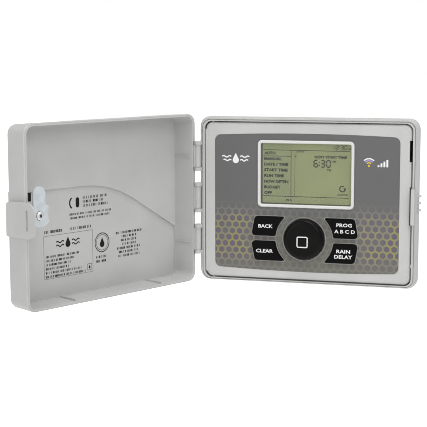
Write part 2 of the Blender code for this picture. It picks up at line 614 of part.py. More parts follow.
def door_ribs(door, floor):
    """Small stiffening ribs on the inside of the hinge wall and the bottom wall."""
    for number, z in enumerate((0.0517, -0.0528)):
        join(door, box(f"wall_rib_{number}", (DOOR_NEAR + 0.0030, -floor - 0.0005, z - 0.0006),
                       (DOOR_NEAR + RIM_FACE_HINGE + 0.0022, -DOOR_RIM - 0.0020, z + 0.0006),
                       None, DOOR_AXIS))
    for number, u in enumerate((0.060, 0.196)):
        bottom = DOOR_Z - DOOR_HEIGHT / 2
        join(door, box(f"bottom_rib_{number}", (u - 0.0006, -floor - 0.0005, bottom + 0.0020),
                       (u + 0.0006, -DOOR_RIM - 0.0020, bottom + RIM_FACE + 0.0028), None, DOOR_AXIS))


def build_lock():
    """Barrel and nut on the door; core, cam and screw turn together."""
    face = DOOR_FACE + DOOR_BULGE

    def at(outwards):
        return LOCK_U, -outwards, LOCK_Z

    barrel = rod("lock_barrel", at(face + 0.0022), at(0.0056), 0.0090, STEEL, DOOR_AXIS)
    join(barrel, rod("barrel_flange", at(face + 0.00222), at(face + GAP), 0.0112, None, DOOR_AXIS))
    cut(barrel, rod("barrel_bore", at(face + 0.004), at(0.004), 0.0064, None, DOOR_AXIS))
    nut = rod("lock_nut", at(DOOR_FACE - DOOR_SKIN - GAP), at(DOOR_FACE - DOOR_SKIN - 0.0042), 0.0128,
              STEEL, DOOR_AXIS, 6)
    cut(nut, rod("nut_bore", at(0.040), at(0.010), 0.0093, None, DOOR_AXIS))

    core = rod("lock_core", at(face + 0.0026), at(CAM_FAR + GAP), 0.0060, STEEL, LOCK_AXIS)
    join(core, box("core_square", (LOCK_U - 0.0030, -CAM_FAR - 0.001, LOCK_Z - 0.0030),
                   (LOCK_U + 0.0030, -CAM_NEAR - GAP, LOCK_Z + 0.0030), None, LOCK_AXIS))
    cut(core, rod("core_thread", at(0.0), at(0.014), 0.0018, None, LOCK_AXIS, 12),
        box("key_slot", (LOCK_U - 0.0009, -face - 0.006, LOCK_Z - 0.0040),
            (LOCK_U + 0.0009, -face + 0.006, LOCK_Z + 0.0040), None, LOCK_AXIS))

    arm_x, arm_half, arm_top = LOCK_U + 0.0006, 0.0082, LOCK_Z + 0.0317
    wing, hub = 0.0123, 0.0088
    cam = prism("lock_cam", fillet([
        (arm_x - arm_half, LOCK_Z + 0.0105, 0.0020), (LOCK_U - wing, LOCK_Z + 0.0105, 0.0008),
        (LOCK_U - wing + 0.0012, LOCK_Z + 0.0005, 0.0), (LOCK_U - wing, LOCK_Z - 0.0075, 0.0008),
        (LOCK_U - 0.0060, LOCK_Z - 0.0120, 0.0040), (LOCK_U + 0.0060, LOCK_Z - 0.0120, 0.0055),
        (LOCK_U + hub, LOCK_Z - 0.0020, 0.0060), (arm_x + arm_half, LOCK_Z + 0.0120, 0.0),
        (arm_x + arm_half, arm_top, arm_half * 0.98), (arm_x - arm_half, arm_top, arm_half * 0.98)], 5),
        -CAM_FAR, -CAM_NEAR, CAM, LOCK_AXIS)
    cut(cam, box("cam_square", (LOCK_U - 0.0033, -0.006, LOCK_Z - 0.0033),
                 (LOCK_U + 0.0033, 0.002, LOCK_Z + 0.0033), None, LOCK_AXIS))
    screw("lock_cam_screw", at(CAM_NEAR - GAP), at(0.0105), 0.0046, 0.0012, 0.0015, STEEL, LOCK_AXIS,
          math.radians(45))


# ---- control panel --------------------------------------------------------------------------
def label_outline(grow=0.0):
    """A rounded rectangle whose long sides bow outwards."""
    half, rise = LABEL_WIDTH / 2 + grow, LABEL_HEIGHT / 2 + grow
    radius = 0.0066 + grow
    points = []
    for quarter, (side, top) in enumerate(((1, 1), (-1, 1), (-1, -1), (1, -1))):
        for step in range(CORNER_STEPS + 1):
            angle = (quarter + step / CORNER_STEPS) * math.pi / 2
            points.append((side * (half - radius) + radius * math.cos(angle),
                           top * (rise - radius) + radius * math.sin(angle)))
        if quarter in (0, 2):
            for step in range(1, 8):
                points.append((side * (half - radius) * (1 - step / 4), top * rise))
    return [(LABEL_X + x, LABEL_Z + z + math.copysign(LABEL_BOW * (1 - (x / half) ** 2), z))
            for x, z in points]


def key_outline(side, top, grow=0.0):
    """One of the four keys round the dial: its inner side follows a circle about the dial."""
    arc = KEY_ARC - grow
    low, high = 0.0034 - grow, 0.0264 + grow
    inner_top, inner_low = math.asin(high / arc), math.asin(low / arc)
    corners = [(0.0600 + grow, high, 0.0036 + grow), (0.0644 + grow, low, 0.0036 + grow),
               (arc * math.cos(inner_low), low, 0.0014)]
    for step in range(1, 6):
        angle = inner_low + (inner_top - inner_low) * step / 6
        corners.append((arc * math.cos(angle), arc * math.sin(angle), 0.0))
    corners.append((arc * math.cos(inner_top), high, 0.0012))
    return [(KEY_X + side * x, KEY_Z + top * z) for x, z in fillet(corners)]


KEYS = (("key_back", -1, 1), ("key_clear", -1, -1), ("key_program", 1, 1), ("key_rain_delay", 1, -1))


def build_bezel():
    def section(inset, radius, y):
        return rounded_rectangle(PANEL_WIDTH - 2 * inset, PANEL_HEIGHT - 2 * inset, radius, z=PANEL_Z), y

    bezel = loft("panel_bezel", [
        section(0.0030, 0.0055, PANEL_FACE),
        section(0.0010, 0.0072, PANEL_FACE + 0.0008),
        section(0.0, 0.0080, PANEL_FACE + 0.0028),
        section(0.0, 0.0080, PANEL_FACE + PANEL_SKIRT),
        section(0.0024, 0.0060, PANEL_FACE + PANEL_SKIRT),
        section(0.0024, 0.0060, PANEL_FACE + PANEL_PLATE)], SHELL, PANEL_AXIS_EMPTY)
    plate_back = PANEL_FACE + PANEL_PLATE
    axis_x, axis_y = PANEL_AXIS
    for name, low, high in (("top", 0.0848, 0.0905), ("bottom", -0.0920, -0.0862)):
        boss = box(f"pin_boss_{name}", (axis_x - 0.0040, PANEL_FACE + 0.0012, low),
                   (axis_x + 0.0040, axis_y + 0.0031, high))
        join(bezel, boss)
        end = (high + 0.006) if name == "top" else (low - 0.006)
        start = (low + 0.0009) if name == "top" else (high - 0.0009)
        cut(bezel, rod(f"pin_bore_{name}", (axis_x, axis_y, start), (axis_x, axis_y, end),
                       PIN_RADIUS + GAP, steps=16))
    for number, (x, z) in enumerate(COVER_SCREWS):
        join(bezel, rod(f"cover_post_{number}", (x, plate_back - 0.001, z), (x, COVER_BACK - 0.0026, z),
                        0.0038, steps=16))
        cut(bezel, rod(f"cover_pilot_{number}", (x, COVER_BACK - 0.014, z), (x, COVER_BACK + 0.001, z),
                       0.0017, steps=12))
    cut(bezel,
        prism("label_recess", label_outline(GAP), PANEL_FACE - 0.001, PANEL_FACE + LABEL_RECESS),
        prism("screen_hole", rounded_rectangle(0.1128, 0.0765, 0.0034, SCREEN_X, SCREEN_Z, 4),
              PANEL_FACE - 0.001, plate_back + 0.001),
        rod("dial_well", (DIAL_X, PANEL_FACE - 0.001, DIAL_Z), (DIAL_X, PANEL_FACE + 0.0018, DIAL_Z),
            DIAL_RADIUS + 0.0008, steps=40),
        rod("dial_hole", (DIAL_X, PANEL_FACE, DIAL_Z), (DIAL_X, plate_back + 0.001, DIAL_Z), 0.0072),
        box("finger_notch", (0.1210, PANEL_FACE - 0.001, 0.0496),
            (0.1250, PANEL_FACE + PANEL_SKIRT + 0.001, 0.0745)),
        box("catch_recess", (0.1217, PANEL_FACE - 0.001, -0.0242),
            (0.1250, PANEL_FACE + PANEL_SKIRT + 0.001, 0.0205)))
    for name, side, top in KEYS:
        cut(bezel, prism(f"{name}_hole", key_outline(side, top, KEY_FIT), PANEL_FACE - 0.001,
                         plate_back + 0.001))


def build_panel_front():
    """Label, screen stack, keys and dial."""
    face, parent = PANEL_FACE, PANEL_AXIS_EMPTY
    label = prism("control_label", label_outline(), face, face + LABEL_RECESS - GAP, LABEL, parent)
    cut(label,
        prism("label_screen", rounded_rectangle(0.1128, 0.0765, 0.0034, SCREEN_X, SCREEN_Z, 4),
              face - 0.001, face + 0.002),
        rod("label_dial", (DIAL_X, face - 0.001, DIAL_Z), (DIAL_X, face + 0.002, DIAL_Z),
            DIAL_RADIUS + 0.0008, steps=40))
    for name, side, top in KEYS:
        cut(label, prism(f"{name}_label", key_outline(side, top, KEY_FIT), face - 0.001, face + 0.002))

    def pane(inset, radius, base_width=FRAME_WIDTH, base_height=FRAME_HEIGHT):
        return rounded_rectangle(base_width - 2 * inset, base_height - 2 * inset, radius,
                                 SCREEN_X, SCREEN_Z, 4)

    loft("screen_frame", [
        (pane(0.0, 0.0050), face - GAP),
        (pane(0.0, 0.0050), face - 0.0012),
        (pane(0.0006, 0.0044), face - 0.0018),
        (pane(0.0028, 0.0022), face - 0.0018),
        (pane(0.0035, 0.0018), face - 0.0012),
        (pane(0.0035, 0.0018), face + 0.0014),
        (pane(0.0020, 0.0030), face + 0.0014),
        (pane(0.0020, 0.0030), face - GAP)], FRAME, parent, closed=True)
    inside = (WINDOW_WIDTH - 2 * GAP, WINDOW_HEIGHT - 2 * GAP)
    loft("screen_window", [(pane(0.0, 0.0015, *inside), face - 0.0004),
                           (pane(0.0, 0.0015, *inside), face + 0.0008)], CLEAR, parent)
    loft("screen_glass", [(pane(0.0, 0.0010, 0.1110, 0.0748), face + 0.0018),
                          (pane(0.0, 0.0010, 0.1110, 0.0748), face + 0.0044)], SCREEN, parent)
    loft("screen_holder", [(pane(0.0, 0.0020, 0.1180, 0.0820), face + 0.0048),
                           (pane(0.0, 0.0020, 0.1180, 0.0820), BOARD_FRONT - GAP)], WHITE, parent)

    for name, side, top in KEYS:
        cap = prism(name, key_outline(side, top), face + 0.0042, face - KEY_RISE, KEY, KEY_AXES[name],
                    bevel=0.0008)
        join(cap, prism(f"{name}_flange", key_outline(side, top, 0.0014), face + PANEL_PLATE + GAP,
                        face + PANEL_PLATE + 0.0013, None, KEY_AXES[name]))

    turned("dial_knob", [
        (0.0, face - DIAL_TOP), (0.0196, face - DIAL_TOP), (0.0210, face - DIAL_TOP + 0.0002),
        (0.0224, face - DIAL_TOP + 0.0009), (0.0235, face - DIAL_TOP + 0.0022),
        (0.0241, face - DIAL_TOP + 0.0042), (DIAL_RADIUS, face + 0.0001), (0.0228, face + 0.0001),
        (0.0222, face - DIAL_TOP + 0.0034), (0.0070, face - DIAL_TOP + 0.0034), (0.0070, face - 0.0016),
        (0.0033, face - 0.0016), (0.0033, face - DIAL_TOP + 0.0028), (0.0, face - DIAL_TOP + 0.0028)],
        (DIAL_X, 0.0, DIAL_Z), KEY, DIAL_AXIS, 40)
    rod("dial_shaft", (DIAL_X, face - DIAL_TOP + 0.0031, DIAL_Z), (DIAL_X, face + 0.0058, DIAL_Z), 0.0030,
        STEEL, DIAL_AXIS)
    collar = rod("dial_push_collar", (DIAL_X, face - 0.0011, DIAL_Z), (DIAL_X, face + 0.0005, DIAL_Z),
                 0.0062, WHITE, PRESS_AXIS)
    cut(collar, rod("collar_bore", (DIAL_X, face - 0.003, DIAL_Z), (DIAL_X, face + 0.003, DIAL_Z), 0.0034))


def build_panel_inside():
    """Board, encoder, key mat, radio, battery and the rear cover."""
    face, parent = PANEL_FACE, PANEL_AXIS_EMPTY
    back = BOARD_FRONT + BOARD_THICK
    box("main_board", (-0.1000, BOARD_FRONT, -0.0790), (0.1000, back, 0.0760), CIRCUIT, parent)
    encoder = box("dial_encoder", (DIAL_X - 0.0065, face + 0.0042, DIAL_Z - 0.0065),
                  (DIAL_X + 0.0065, BOARD_FRONT - GAP, DIAL_Z + 0.0065), STEEL, parent, bevel=0.0004)
    join(encoder, rod("encoder_neck", (DIAL_X, face + 0.0022, DIAL_Z), (DIAL_X, face + 0.0050, DIAL_Z),
                      0.0050, None, parent))
    cut(encoder, rod("encoder_bore", (DIAL_X, face, DIAL_Z), (DIAL_X, BOARD_FRONT - 0.0004, DIAL_Z),
                     0.0033, None, parent))
    mat = box("key_mat", (-0.0690, face + 0.0057, -0.0770), (0.0652, BOARD_FRONT - GAP, -0.0140), RUBBER,
              parent)
    cut(mat, box("mat_hole", (DIAL_X - 0.0075, face, DIAL_Z - 0.0075),
                 (DIAL_X + 0.0075, 0.0, DIAL_Z + 0.0075), None, parent))
    box("radio_module", (0.0560, back + GAP, 0.0400), (0.0800, back + 0.0031, 0.0640), STEEL, parent,
        bevel=0.0004)
    box("panel_connector", (-0.0960, back + GAP, -0.0560), (-0.0840, COVER_BACK - 0.0026, -0.0300),
        TERMINAL, parent, bevel=0.0005)

    holder = rod("battery_holder", (0.070, back + GAP, -0.030), (0.070, back + 0.0045, -0.030), 0.0120,
                 WHITE, parent)
    cut(holder, rod("battery_seat", (0.070, back + 0.0012, -0.030), (0.070, back + 0.006, -0.030), 0.0103,
                    None, parent))
    rod("coin_cell", (0.070, back + 0.0015, -0.030), (0.070, back + 0.0047, -0.030), 0.0100, CELL, parent)

    def section(inset, radius, y):
        return rounded_rectangle(COVER_WIDTH - 2 * inset, COVER_HEIGHT - 2 * inset, radius, z=PANEL_Z), y

    cover = loft("panel_rear_cover", [
        section(0.0030, 0.0040, COVER_BACK),
        section(0.0010, 0.0060, COVER_BACK - 0.0010),
        section(0.0003, 0.0060, COVER_BACK - 0.0030),
        section(0.0, 0.0060, face + PANEL_PLATE + GAP),
        section(0.0018, 0.0045, face + PANEL_PLATE + GAP),
        section(0.0024, 0.0045, COVER_BACK - 0.0020)], COVER, parent)
    for number, (x, z) in enumerate(COVER_SCREWS):
        cut(cover, rod(f"cover_hole_{number}", (x, COVER_BACK - 0.004, z), (x, COVER_BACK + 0.001, z),
                       0.0019, steps=12))
        screw(f"rear_cover_screw_{number + 1}", (x, COVER_BACK + GAP, z), (x, COVER_BACK - 0.0115, z),
              0.0032, 0.0018, 0.0014, STEEL, parent)
    cut(cover,
        box("battery_door_hole", (0.0560, COVER_BACK - 0.003, -0.0440),
            (0.0840, COVER_BACK + 0.001, -0.0160), None, parent),
        box("connector_hole", (-0.0975, COVER_BACK - 0.003, -0.0575),
            (-0.0825, COVER_BACK + 0.001, -0.0285), None, parent))
    lid = box("battery_cover", (0.0563, COVER_BACK - 0.0018, -0.0437), (0.0837, COVER_BACK, -0.0163),
              COVER, parent, bevel=0.0004)
    join(lid, box("battery_cover_grip", (0.0640, COVER_BACK - 0.0005, -0.0410),
                  (0.0760, COVER_BACK + 0.0010, -0.0390), None, parent))


# ---- the object -----------------------------------------------------------------------------
clear_scene()
PARTS = collection("irrigation_controller")
TOOLS = collection("cutters")

SHELL = paint("grey_plastic", (0.56, 0.56, 0.55), 0.45)
COVER = paint("dark_grey_plastic", (0.20, 0.20, 0.20), 0.5)
LABEL = paint("printed_label", (0.15, 0.15, 0.15), 0.5)
FRAME = paint("white_plastic", (0.75, 0.76, 0.76), 0.35)
WHITE = paint("natural_plastic", (0.70, 0.70, 0.68), 0.5)
KEY = paint("black_plastic", (0.012, 0.012, 0.013), 0.3)
CLEAR = paint("clear_window", (0.95, 0.96, 0.95), 0.05, alpha=0.2)
SCREEN = paint("screen", (0.30, 0.33, 0.18), 0.35)
CAM = paint("frosted_plastic", (0.66, 0.73, 0.74), 0.35)
STEEL = paint("steel", (0.62, 0.62, 0.62), 0.3, 1.0)
CORE = paint("laminated_steel", (0.12, 0.12, 0.13), 0.5, 0.8)
COPPER = paint("winding_tape", (0.55, 0.35, 0.06), 0.45)
CIRCUIT = paint("circuit_board", (0.03, 0.18, 0.07), 0.4)
TERMINAL = paint("terminal_green", (0.05, 0.30, 0.16), 0.45)
RUBBER = paint("rubber", (0.03, 0.03, 0.03), 0.7)
CELL = paint("nickel", (0.70, 0.70, 0.70), 0.25, 1.0)
RIBBON = paint("ribbon_grey", (0.45, 0.45, 0.46), 0.5)

BOARD_TOP = -0.0104             # back of the terminal board
TERMINAL_LEFT, TERMINAL_RIGHT = -0.030, 0.112
COVER_POSTS = ((-0.112, -0.052), (-0.036, -0.052))
POSTS = [(f"board_{column}_{row}", x, z, BOARD_TOP + GAP)
         for column, x in enumerate((TERMINAL_LEFT + 0.005, TERMINAL_RIGHT - 0.005))
         for row, z in enumerate((-0.0735, -0.0385))]
POSTS += [(f"cover_{number}", x, z, -0.0090 + GAP) for number, (x, z) in enumerate(COVER_POSTS)]
COVER_SCREWS = [(x, z) for x in (-0.1060, 0.1060) for z in (-0.0787, 0.0773)]

DOOR_AXIS = empty_at("door_hinge_axis", (HINGE_X, HINGE_Y, 0.0), -DOOR_OPEN)
LOCK_AXIS = empty_at("lock_axis", (0.0, 0.0, 0.0))
LOCK_AXIS.parent = DOOR_AXIS
PANEL_AXIS_EMPTY = empty_at("panel_hinge_axis", (0.0, 0.0, 0.0))
PRESS_AXIS = empty_at("dial_press_axis", (0.0, 0.0, 0.0))
PRESS_AXIS.parent = PANEL_AXIS_EMPTY
DIAL_AXIS = empty_at("dial_axis", (0.0, 0.0, 0.0))
DIAL_AXIS.parent = PRESS_AXIS
KEY_AXES = {}
for key_name, _side, _top in KEYS:
    KEY_AXES[key_name] = empty_at(f"{key_name}_axis", (0.0, 0.0, 0.0))
    KEY_AXES[key_name].parent = PANEL_AXIS_EMPTY

build_cabinet()
build_wiring()
build_door()
build_lock()
build_bezel()
build_panel_front()
build_panel_inside()
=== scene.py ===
"""Looks of a wall-mounted irrigation controller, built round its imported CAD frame.

Everything is in metres in the CAD's frame: the wall is at y = 0 and the front faces -Y. Only what is printed
on a plane is in millimetres.
"""
import json
import math
import random

import bmesh
import bpy
from mathutils import Matrix, Vector


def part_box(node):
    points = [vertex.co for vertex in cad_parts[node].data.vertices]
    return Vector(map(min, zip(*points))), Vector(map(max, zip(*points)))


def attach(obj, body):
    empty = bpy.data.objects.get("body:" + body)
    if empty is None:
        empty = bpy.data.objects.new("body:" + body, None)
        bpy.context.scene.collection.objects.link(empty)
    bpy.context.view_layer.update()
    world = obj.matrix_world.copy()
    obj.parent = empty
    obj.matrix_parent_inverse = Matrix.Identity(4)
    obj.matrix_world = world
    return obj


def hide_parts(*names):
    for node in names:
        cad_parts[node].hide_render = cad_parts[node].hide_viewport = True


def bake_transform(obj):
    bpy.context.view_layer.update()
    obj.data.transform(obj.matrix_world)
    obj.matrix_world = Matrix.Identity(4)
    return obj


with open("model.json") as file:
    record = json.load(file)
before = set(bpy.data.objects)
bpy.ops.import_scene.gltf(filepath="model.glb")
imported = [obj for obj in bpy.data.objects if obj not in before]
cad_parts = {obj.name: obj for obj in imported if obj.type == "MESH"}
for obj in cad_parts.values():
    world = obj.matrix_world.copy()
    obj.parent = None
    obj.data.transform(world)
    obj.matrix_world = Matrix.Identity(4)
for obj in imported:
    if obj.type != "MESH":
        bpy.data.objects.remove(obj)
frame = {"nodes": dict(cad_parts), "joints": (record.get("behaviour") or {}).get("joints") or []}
NODES = frame["nodes"]
JOINTS = {joint["name"]: joint for joint in frame["joints"]}
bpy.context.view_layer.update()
random.seed(7)

MM = 0.001
UP = Vector((0.0, 0.0, 1.0))
RIGHT = Vector((1.0, 0.0, 0.0))         # the reader's right, in front of the cabinet
PRINT_LIFT, PRINT_DEPTH = 0.02, 0.06    # in millimetres: ink and painted shade stand off their surface, and their thickness
SHARPEST_MITRE = 0.4                    # keeps the corners of a stroke short

SENSOR_WIDTH, LENS = 36.0, 106.95       # both in millimetres
LENS_SHIFT = (-0.0054, 0.0072)
CAMERA_PLACE = (0.3130, -1.5342, 0.1831)
CAMERA_TURN = (82.34, 0.14, 16.19)      # degrees about X, Y and Z

LIGHT_TARGET = (-0.05, -0.10, 0.0)
BACKDROP_LIGHT = 0.42                   # share of the white backdrop that lights the object
FLOOR_LIGHT = 0.34                      # share of the floor's glow that lights the object
FLOOR_Z = -0.60
FLOOR_RADII = (1.0, 2.5, 5.0, 12.0)
FLOOR_SECTORS = 48


# ---- studio ---------------------------------------------------------------------------------
def build_camera():
    data = bpy.data.cameras.new("camera")
    data.sensor_width, data.lens = SENSOR_WIDTH, LENS
    data.shift_x, data.shift_y = LENS_SHIFT
    data.clip_end = 60.0
    camera = bpy.data.objects.new("camera", data)
    camera.location = CAMERA_PLACE
    camera.rotation_euler = [math.radians(angle) for angle in CAMERA_TURN]
    bpy.context.scene.collection.objects.link(camera)
    bpy.context.scene.camera = camera


def softbox(name, location, width, height, power):
    """A rectangular lamp aimed at the object."""
    data = bpy.data.lights.new(name, "AREA")
    data.shape = "RECTANGLE"
    data.size, data.size_y = width, height
    data.energy = power
    lamp = bpy.data.objects.new(name, data)
    lamp.location = location
    lamp.rotation_euler = (Vector(LIGHT_TARGET) - Vector(location)).to_track_quat("-Z", "Y").to_euler()
    bpy.context.scene.collection.objects.link(lamp)


def build_studio():
    world = bpy.data.worlds.new("studio")
    world.use_nodes = True
    tree = world.node_tree
    background = tree.nodes["Background"]
    background.inputs["Color"].default_value = (1.0, 1.0, 1.0, 1.0)
    # the camera sees the backdrop full white, and it lights the object less than that
    seen_directly = tree.nodes.new("ShaderNodeLightPath").outputs["Is Camera Ray"]
    strength = tree.nodes.new("ShaderNodeMapRange")
    strength.inputs["To Min"].default_value = BACKDROP_LIGHT
    strength.inputs["To Max"].default_value = 1.0
    tree.links.new(seen_directly, strength.inputs["Value"])
    tree.links.new(strength.outputs["Result"], background.inputs["Strength"])
    bpy.context.scene.world = world
    bpy.context.scene.view_settings.view_transform = "Standard"
    bpy.context.scene.cycles.filter_width = 1.0
    softbox("overhead", (0.15, -0.50, 1.60), 1.3, 1.0, 17.0)
    softbox("key", (1.10, -1.25, 1.10), 1.0, 1.0, 10.0)
    softbox("fill", (-1.00, -1.85, 0.55), 1.1, 1.1, 7.5)


def build_floor():
    """A round sheet under the object, in rings about its middle."""
    bm = bmesh.new()
    turns = [math.tau * step / FLOOR_SECTORS for step in range(FLOOR_SECTORS)]
    middle = bm.verts.new((0.0, 0.0, FLOOR_Z))
    rings = [[bm.verts.new((radius * math.cos(turn), radius * math.sin(turn), FLOOR_Z)) for turn in turns]
             for radius in FLOOR_RADII]
    for step in range(FLOOR_SECTORS):
        bm.faces.new((middle, rings[0][step - 1], rings[0][step]))
    for inner, outer in zip(rings, rings[1:]):
        for step in range(FLOOR_SECTORS):
            bm.faces.new((inner[step - 1], outer[step - 1], outer[step], inner[step]))
    bmesh.ops.recalc_face_normals(bm, faces=bm.faces)
    floor = mesh_object("studio_floor", bm, FLOOR_PAINT)


# ---- node graphs ----------------------------------------------------------------------------
class Graph:
    """A material and short calls to wire it."""

    def __init__(self, name, colour, roughness, metallic=0.0, **sockets):
        self.material = bpy.data.materials.new(name)
        self.material.use_nodes = True
        self.tree = self.material.node_tree
        self.shader = self.tree.nodes["Principled BSDF"]
        self.put(self.shader, "Base Color", (*colour, 1.0))
        self.put(self.shader, "Roughness", roughness)
        self.put(self.shader, "Metallic", metallic)
        for socket, value in sockets.items():
            self.put(self.shader, socket.replace("_", " "), value)
        self.place = self.node("ShaderNodeTexCoord").outputs["Object"]

    def put(self, node, socket, value):
        target = node.inputs[socket]
        if isinstance(value, bpy.types.NodeSocket):
            self.tree.links.new(value, target)
        else:
            target.default_value = value

    def node(self, kind, inputs=None, **attributes):
        made = self.tree.nodes.new(kind)
        for key, value in attributes.items():
            setattr(made, key, value)
        for socket, value in (inputs or {}).items():
            self.put(made, socket, value)
        return made

    def math(self, operation, first, second=0.0):
        return self.node("ShaderNodeMath", {0: first, 1: second}, operation=operation).outputs[0]

    def vector(self, operation, first, second=(0.0, 0.0, 0.0)):
        made = self.node("ShaderNodeVectorMath", {0: first, 1: second}, operation=operation)
        return made.outputs["Value" if operation in ("LENGTH", "DOT_PRODUCT") else "Vector"]

    def axes(self, place=None):
        return self.node("ShaderNodeSeparateXYZ", {0: place or self.place}).outputs

    def join(self, x, y, z):
        return self.node("ShaderNodeCombineXYZ", {0: x, 1: y, 2: z}).outputs[0]

    def fit(self, value, low, high, out_low=0.0, out_high=1.0):
        """A smooth step from one output to the other, while the value runs from low to high."""
        return self.node("ShaderNodeMapRange", {0: value, 1: low, 2: high, 3: out_low, 4: out_high},
                         clamp=True, interpolation_type="SMOOTHSTEP").outputs[0]

    def blend(self, factor, first, second):
        made = self.node("ShaderNodeMix", data_type="RGBA")
        self.put(made, 0, factor)
        for socket, value in ((6, first), (7, second)):
            self.put(made, socket, value if isinstance(value, bpy.types.NodeSocket) else (*value, 1.0))
        return made.outputs[2]

    def noise(self, scale, detail=2.0, roughness=0.5, place=None):
        return self.node("ShaderNodeTexNoise",
                         {"Vector": place or self.place, "Scale": scale, "Detail": detail,
                          "Roughness": roughness}).outputs[0]

    def bump(self, height, distance):
        return self.node("ShaderNodeBump", {"Height": height, "Distance": distance,
                                            "Strength": 1.0}).outputs[0]

    def finish(self, colour=None, roughness=None, normal=None):
        for socket, value in (("Base Color", colour), ("Roughness", roughness), ("Normal", normal)):
            if value is not None:
                self.put(self.shader, socket, value)
        return self.material


def linear(value):
    """The linear share of light that a display value between 0 and 255 stands for."""
    share = value / 255
    return share / 12.92 if share <= 0.04045 else ((share + 0.055) / 1.055) ** 2.4


def display(red, green, blue):
    """A colour from its three display values."""
    return linear(red), linear(green), linear(blue)


def grey(value):
    return display(value, value, value)


def shade(colour, share):
    return tuple(channel * share for channel in colour)


def plastic(name, colour, roughness, grain=1500.0, depth=0.000012, mottle=0.03, **sockets):
    """Moulded plastic: a fine spark-eroded grain, faint flow marks and slightly uneven gloss."""
    graph = Graph(name, colour, roughness, **sockets)
    flow = graph.noise(22.0, 3.0)
    speck = graph.noise(grain * 0.6, 1.0)
    tone = graph.math("ADD", graph.math("MULTIPLY", flow, 0.8), graph.math("MULTIPLY", speck, 0.2))
    colour_out = graph.blend(graph.fit(tone, 0.35, 0.65), shade(colour, 1.0 - mottle),
                             shade(colour, 1.0 + mottle))
    gloss = graph.fit(graph.noise(75.0, 2.0), 0.3, 0.7, roughness - 0.05, roughness + 0.06)
    pebble = graph.noise(grain, 2.0, 0.6)
    return graph.finish(colour_out, gloss, graph.bump(pebble, depth))


def metal(name, colour, roughness):
    """Plated or brushed metal: fine drawn lines and a few smudges."""
    graph = Graph(name, colour, roughness, 1.0)
    drawn = graph.noise(1.0, 2.0, 0.5, graph.vector("MULTIPLY", graph.place, (900.0, 900.0, 90.0)))
    smudge = graph.noise(160.0, 2.0)
    tone = graph.blend(graph.fit(drawn, 0.3, 0.7), shade(colour, 0.9), colour)
    gloss = graph.fit(smudge, 0.35, 0.7, roughness - 0.06, roughness + 0.12)
    return graph.finish(tone, gloss, graph.bump(drawn, 0.000008))


CELL_PITCH = 8.89 * MM                  # across the flats of the printed honeycomb
CELL_MIDDLE = (0.0027, 0.0, -0.0453)    # middle of one of its cells


def honeycomb_label():
    """Matt printed film: dark grey with a honeycomb over its lower part."""
    film = grey(99)
    graph = Graph("honeycomb_film", film, 0.5, Specular_IOR_Level=0.35)
    x, _, z = graph.axes()[:3]
    cell = (CELL_PITCH, 1.0, CELL_PITCH * math.sqrt(3.0))
    scaled = graph.vector("DIVIDE", graph.vector("SUBTRACT", graph.join(x, 0.0, z), CELL_MIDDLE), cell)

    def nearest(offset):
        """The way from the nearest cell's middle, on one of the two grids that make the honeycomb."""
        shifted = graph.vector("FRACTION", graph.vector("ADD", scaled, offset))
        return graph.vector("MULTIPLY", graph.vector("SUBTRACT", shifted, (0.5, 0.0, 0.5)), cell)

    first, second = nearest((0.0, 0.0, 0.0)), nearest((0.5, 0.0, 0.5))
    closer = graph.math("LESS_THAN", graph.vector("LENGTH", second), graph.vector("LENGTH", first))
    mixed = graph.node("ShaderNodeMix", data_type="VECTOR")
    for socket, value in ((0, closer), (4, first), (5, second)):
        graph.put(mixed, socket, value)
    u, _, v = graph.axes(mixed.outputs[1])[:3]
    across = graph.math("ABSOLUTE", u)
    slant = graph.math("ADD", graph.math("MULTIPLY", across, 0.5),
                       graph.math("MULTIPLY", graph.math("ABSOLUTE", v), math.sqrt(3.0) / 2))
    reach = graph.math("MAXIMUM", across, slant)
    edge = graph.fit(reach, CELL_PITCH * 0.33, CELL_PITCH * 0.43)

    # the tint is strongest at the sides, at the height of the dial, and dies out above and below
    side = graph.fit(graph.math("ABSOLUTE", graph.math("ADD", x, 0.001)), 0.030, 0.085)
    rise = graph.math("MULTIPLY", graph.fit(z, -0.004, -0.028), graph.fit(z, -0.082, -0.058))
    patch = graph.fit(graph.noise(62.0, 2.0), 0.36, 0.60, 0.45, 1.0)
    tint = graph.math("MULTIPLY", graph.math("MULTIPLY", side, rise), patch)
    strong_tint = graph.math("MULTIPLY", tint, 0.85)
    pale_lines = graph.math("MULTIPLY", graph.fit(z, 0.006, -0.020), 0.30)
    line_amount = graph.math("MULTIPLY", edge, graph.math("ADD", pale_lines, strong_tint))
    base = graph.blend(graph.fit(z, 0.002, -0.050), film, display(104, 103, 97))
    cells = graph.blend(strong_tint, base, display(98, 88, 106))
    lines = graph.blend(tint, display(138, 137, 124), display(142, 138, 88))
    colour = graph.blend(line_amount, cells, lines)
    grain = graph.noise(2600.0, 2.0, 0.7)
    gloss = graph.fit(graph.noise(90.0, 2.0), 0.3, 0.7, 0.42, 0.54)
    return graph.finish(colour, gloss, graph.bump(grain, 0.000006))


MENU_RIGHT = -19.0                      # right edge of the menu's column, in millimetres


